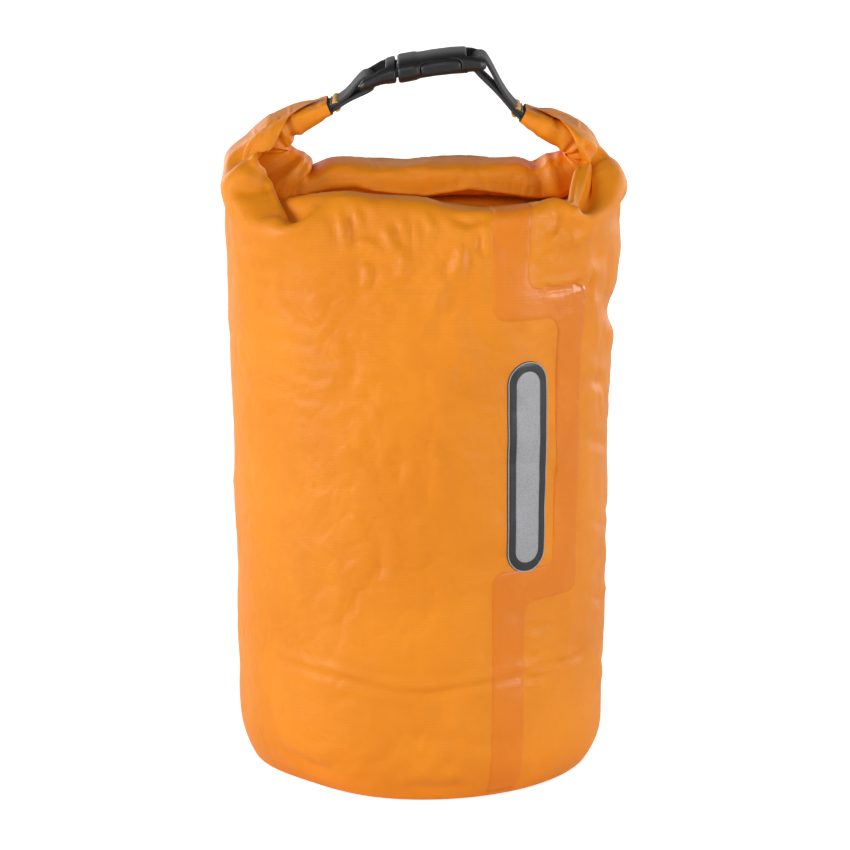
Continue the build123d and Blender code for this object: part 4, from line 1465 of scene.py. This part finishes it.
def solid(name, verts, faces):
    mesh = bpy.data.meshes.new(name)
    mesh.from_pydata(verts, [], faces)
    mesh.update()
    bm = bmesh.new()
    bm.from_mesh(mesh)
    bmesh.ops.recalc_face_normals(bm, faces=bm.faces)
    bm.to_mesh(mesh)
    bm.free()
    return link_object(name, mesh)


def closed_tube(name, verts, rings, around):
    end = (rings - 1) * around
    caps = [tuple(range(around)), tuple(end + j for j in reversed(range(around)))]
    return solid(name, verts, ring_quads(rings, around) + caps)


def hull(name, sections, exponent, count, around=72, y=0.0):
    """Superellipse sections (u, half width, half height, centre height), count rings."""
    at, *columns = np.array(sections, float).T
    us = np.linspace(at[0], at[-1], count)
    half_y, half_n, centre = (np.interp(us, at, column) for column in columns)
    phase = np.arange(around) / around * 2 * math.pi
    c, s = np.cos(phase), np.sin(phase)
    ey, en = (np.sign(t) * np.abs(t) ** (2 / exponent) for t in (c, s))
    verts = [place(us[k], y + half_y[k] * ey[j], centre[k] + half_n[k] * en[j])
             for k in range(count) for j in range(around)]
    return closed_tube(name, verts, count, around)


def block(u0, u1, y0, y1, n0, n1):
    verts = [place(u, y, n) for u in (u0, u1) for y in (y0, y1) for n in (n0, n1)]
    return solid("block", verts, [(0, 1, 3, 2), (4, 6, 7, 5), (0, 4, 5, 1), (2, 3, 7, 6),
                                  (0, 2, 6, 4), (1, 5, 7, 3)])


def rod(u, n, half_u, half_n, y0, y1, exponent=2.6, around=48, lean=0.0):
    """A rod or oval plug running across the buckle."""
    verts = []
    for y in (y0, y1):
        for j in range(around):
            t = j / around * 2 * math.pi
            c, s = math.cos(t), math.sin(t)
            eu, en = (math.copysign(abs(v) ** (2 / exponent), v) for v in (c, s))
            verts.append(place(u + half_u * eu, y, n + lean * c * half_u + half_n * en))
    return closed_tube("rod", verts, 2, around)


def mould(name, blank, steps, voxel=0.00022, rounds=5):
    """Adds and cuts the given solids, then melts the edges a little."""
    for operation, tool in steps:
        modifier = blank.modifiers.new("step", "BOOLEAN")
        modifier.operation = operation
        modifier.object = tool
        modifier.solver = "EXACT"
    skin = blank.modifiers.new("skin", "REMESH")
    skin.mode = "VOXEL"
    skin.voxel_size = voxel
    skin.use_smooth_shade = True
    soft = blank.modifiers.new("soft", "SMOOTH")
    soft.factor = 0.5
    soft.iterations = rounds
    graph = bpy.context.evaluated_depsgraph_get()
    mesh = bpy.data.meshes.new_from_object(blank.evaluated_get(graph), depsgraph=graph)
    mesh.name = name
    for spent in [tool for _, tool in steps] + [blank]:
        bpy.data.objects.remove(spent, do_unlink=True)
    ob = link_object(name, mesh)
    mesh.polygons.foreach_set("use_smooth", [True] * len(mesh.polygons))
    mesh.materials.clear()
    dress(ob, "buckle_plastic")
    return ob


def build_socket():
    """Hollow shell with side windows, and a webbing bar across an open end."""
    shell = hull("shell", [(*row, arch(row[0])) for row in SHELL], 2.7, count=120)
    hollow = hull("hollow", [(*row, arch(row[0])) for row in HOLLOW], 3.0, count=40)
    windows = rod(14.3, arch(14) - 0.3, 7.0, 2.75, -14, 14, exponent=2.8, around=72, lean=0.03)
    socket = mould("socket_shell", shell, [
        ("DIFFERENCE", hollow), ("DIFFERENCE", windows),
        ("DIFFERENCE", block(23.0, 33, -8.0, 8.0, -9, 12)),
        ("UNION", rod(*SOCKET_BAR, 1.5, 1.4, -8.6, 8.6))])
    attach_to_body(socket, "socket")
    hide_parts("buckle_socket")


def build_plug():
    """Frame with a webbing bar, a stepped tongue, and an oval groove in each side."""
    frame = hull("plug_body", PLUG, 2.6, count=90)
    steps = [("DIFFERENCE", block(-16, -3.9, -8.0, 8.0, -9, 12)),
             ("UNION", rod(*PLUG_BAR, 1.45, 1.2, -8.8, 8.8)),
             ("UNION", block(-2, 10.6, -5.0, 5.0, 0.1, 2.1)),
             ("UNION", block(10.2, 20.4, -3.3, 3.3, 0.1, 2.1))]
    for y0, y1 in ((-14, -9.6), (9.6, 14)):
        steps.append(("DIFFERENCE", rod(-6.9, 2.9, 4.2, 1.5, y0, y1, exponent=2.4, lean=0.25)))
    plug = mould("plug_frame", frame, steps)
    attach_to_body(plug, "plug")
    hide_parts("buckle_plug")


def build_latch(place_name, side):
    """A sprung arm with the pad that fills the socket's window on that side."""
    pad = hull("pad", [(u, a, b, arch(at) - 0.3) for u, a, b, at in PAD], 2.3,
               count=60, around=48, y=side * PAD_Y)
    arm = hull("arm", [(u, a, b, arch(at)) for u, a, b, at in ARM], 4.0,
               count=20, around=32, y=side * ARM_Y)
    latch = mould(f"latch_{place_name}_arm", pad, [("UNION", arm)], voxel=0.00018, rounds=4)
    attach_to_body(latch, "latch_" + place_name)
    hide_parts("latch_arm_" + place_name)


build_socket()
build_plug()
build_latch("front", -1)
build_latch("rear", 1)

# ============================ 10. Stage, lights, camera ============================
# name, location, height aimed at on the z axis, size, power (metres, watts)
LIGHTS = (
    ("key", (-1.6, -0.75, 0.55), 0.12, 1.0, 21.3),
    ("fill", (1.5, -0.8, 0.5), 0.12, 0.9, 13.5),
    ("front", (-0.3, -1.6, 1.4), 0.14, 0.8, 4.8),
    ("rear left", (-1.1, 1.5, 0.45), 0.10, 0.9, 9),
    ("rear right", (1.2, 1.4, 0.45), 0.10, 0.9, 7),
)
FLOOR_HALF = 14.0
CAMERA_DOWN = 15.13             # degrees below the horizontal
scene = bpy.context.scene


def build_floor():
    s = Shader("floor")
    tone = s.mix(s.noise(s.position(), scale=3.0), (0.90, 0.90, 0.89), (0.93, 0.93, 0.925))
    to_camera = s.new("ShaderNodeLightPath").outputs["Is Camera Ray"]
    s.surface({"Base Color": tone, "Roughness": 0.8, "Emission Color": (1, 1, 1, 1),
               "Emission Strength": s.times(to_camera, 0.70)})
    mesh = bpy.data.meshes.new("floor")
    corners = ((-1, -1), (1, -1), (1, 1), (-1, 1))
    mesh.from_pydata([(x * FLOOR_HALF, y * FLOOR_HALF, 0) for x, y in corners], [],
                     [(0, 1, 2, 3)])
    floor = link_object("floor", mesh)
    mesh.materials.append(s.material)


def build_world():
    """White from below to grey above; the camera sees an even white."""
    world = bpy.data.worlds.new("studio")
    scene.world = world
    world.use_nodes = True
    nodes, link = world.node_tree.nodes, world.node_tree.links.new
    nodes.clear()
    out = nodes.new("ShaderNodeOutputWorld")
    background = nodes.new("ShaderNodeBackground")
    coords = nodes.new("ShaderNodeTexCoord")
    split = nodes.new("ShaderNodeSeparateXYZ")
    ramp = nodes.new("ShaderNodeValToRGB")
    path = nodes.new("ShaderNodeLightPath")
    mix = nodes.new("ShaderNodeMix")
    mix.data_type = "RGBA"
    low, high = ramp.color_ramp.elements
    low.position = 0.0
    low.color = (1, 1, 1, 1)
    high.position = 0.75
    high.color = (0.14, 0.14, 0.145, 1)
    mix.inputs[7].default_value = (1.35, 1.35, 1.35, 1)
    background.inputs["Strength"].default_value = 0.72
    link(background.outputs[0], out.inputs[0])
    link(coords.outputs["Generated"], split.inputs[0])
    link(split.outputs[2], ramp.inputs[0])
    link(path.outputs["Is Camera Ray"], mix.inputs[0])
    link(ramp.outputs[0], mix.inputs[6])
    link(mix.outputs[2], background.inputs[0])


def add_light(name, location, aim_z, size, power):
    light = bpy.data.lights.new(name, "AREA")
    light.shape = "SQUARE"
    light.size = size
    light.energy = power
    ob = link_object(name, light)
    ob.location = location
    aim = Vector((0, 0, aim_z)) - Vector(location)
    ob.rotation_euler = aim.to_track_quat("-Z", "Y").to_euler()


def add_camera():
    camera = bpy.data.cameras.new("camera")
    camera.sensor_width = 36.0
    camera.lens = 195.797647
    ob = link_object("camera", camera)
    ob.location = (0.00135, -1.5093, 0.5222)
    ob.rotation_euler = (math.radians(90 - CAMERA_DOWN), 0, 0)
    scene.camera = ob


build_floor()
build_world()
for row in LIGHTS:
    add_light(*row)
scene.view_settings.view_transform = "Standard"
scene.view_settings.look = "None"
add_camera()
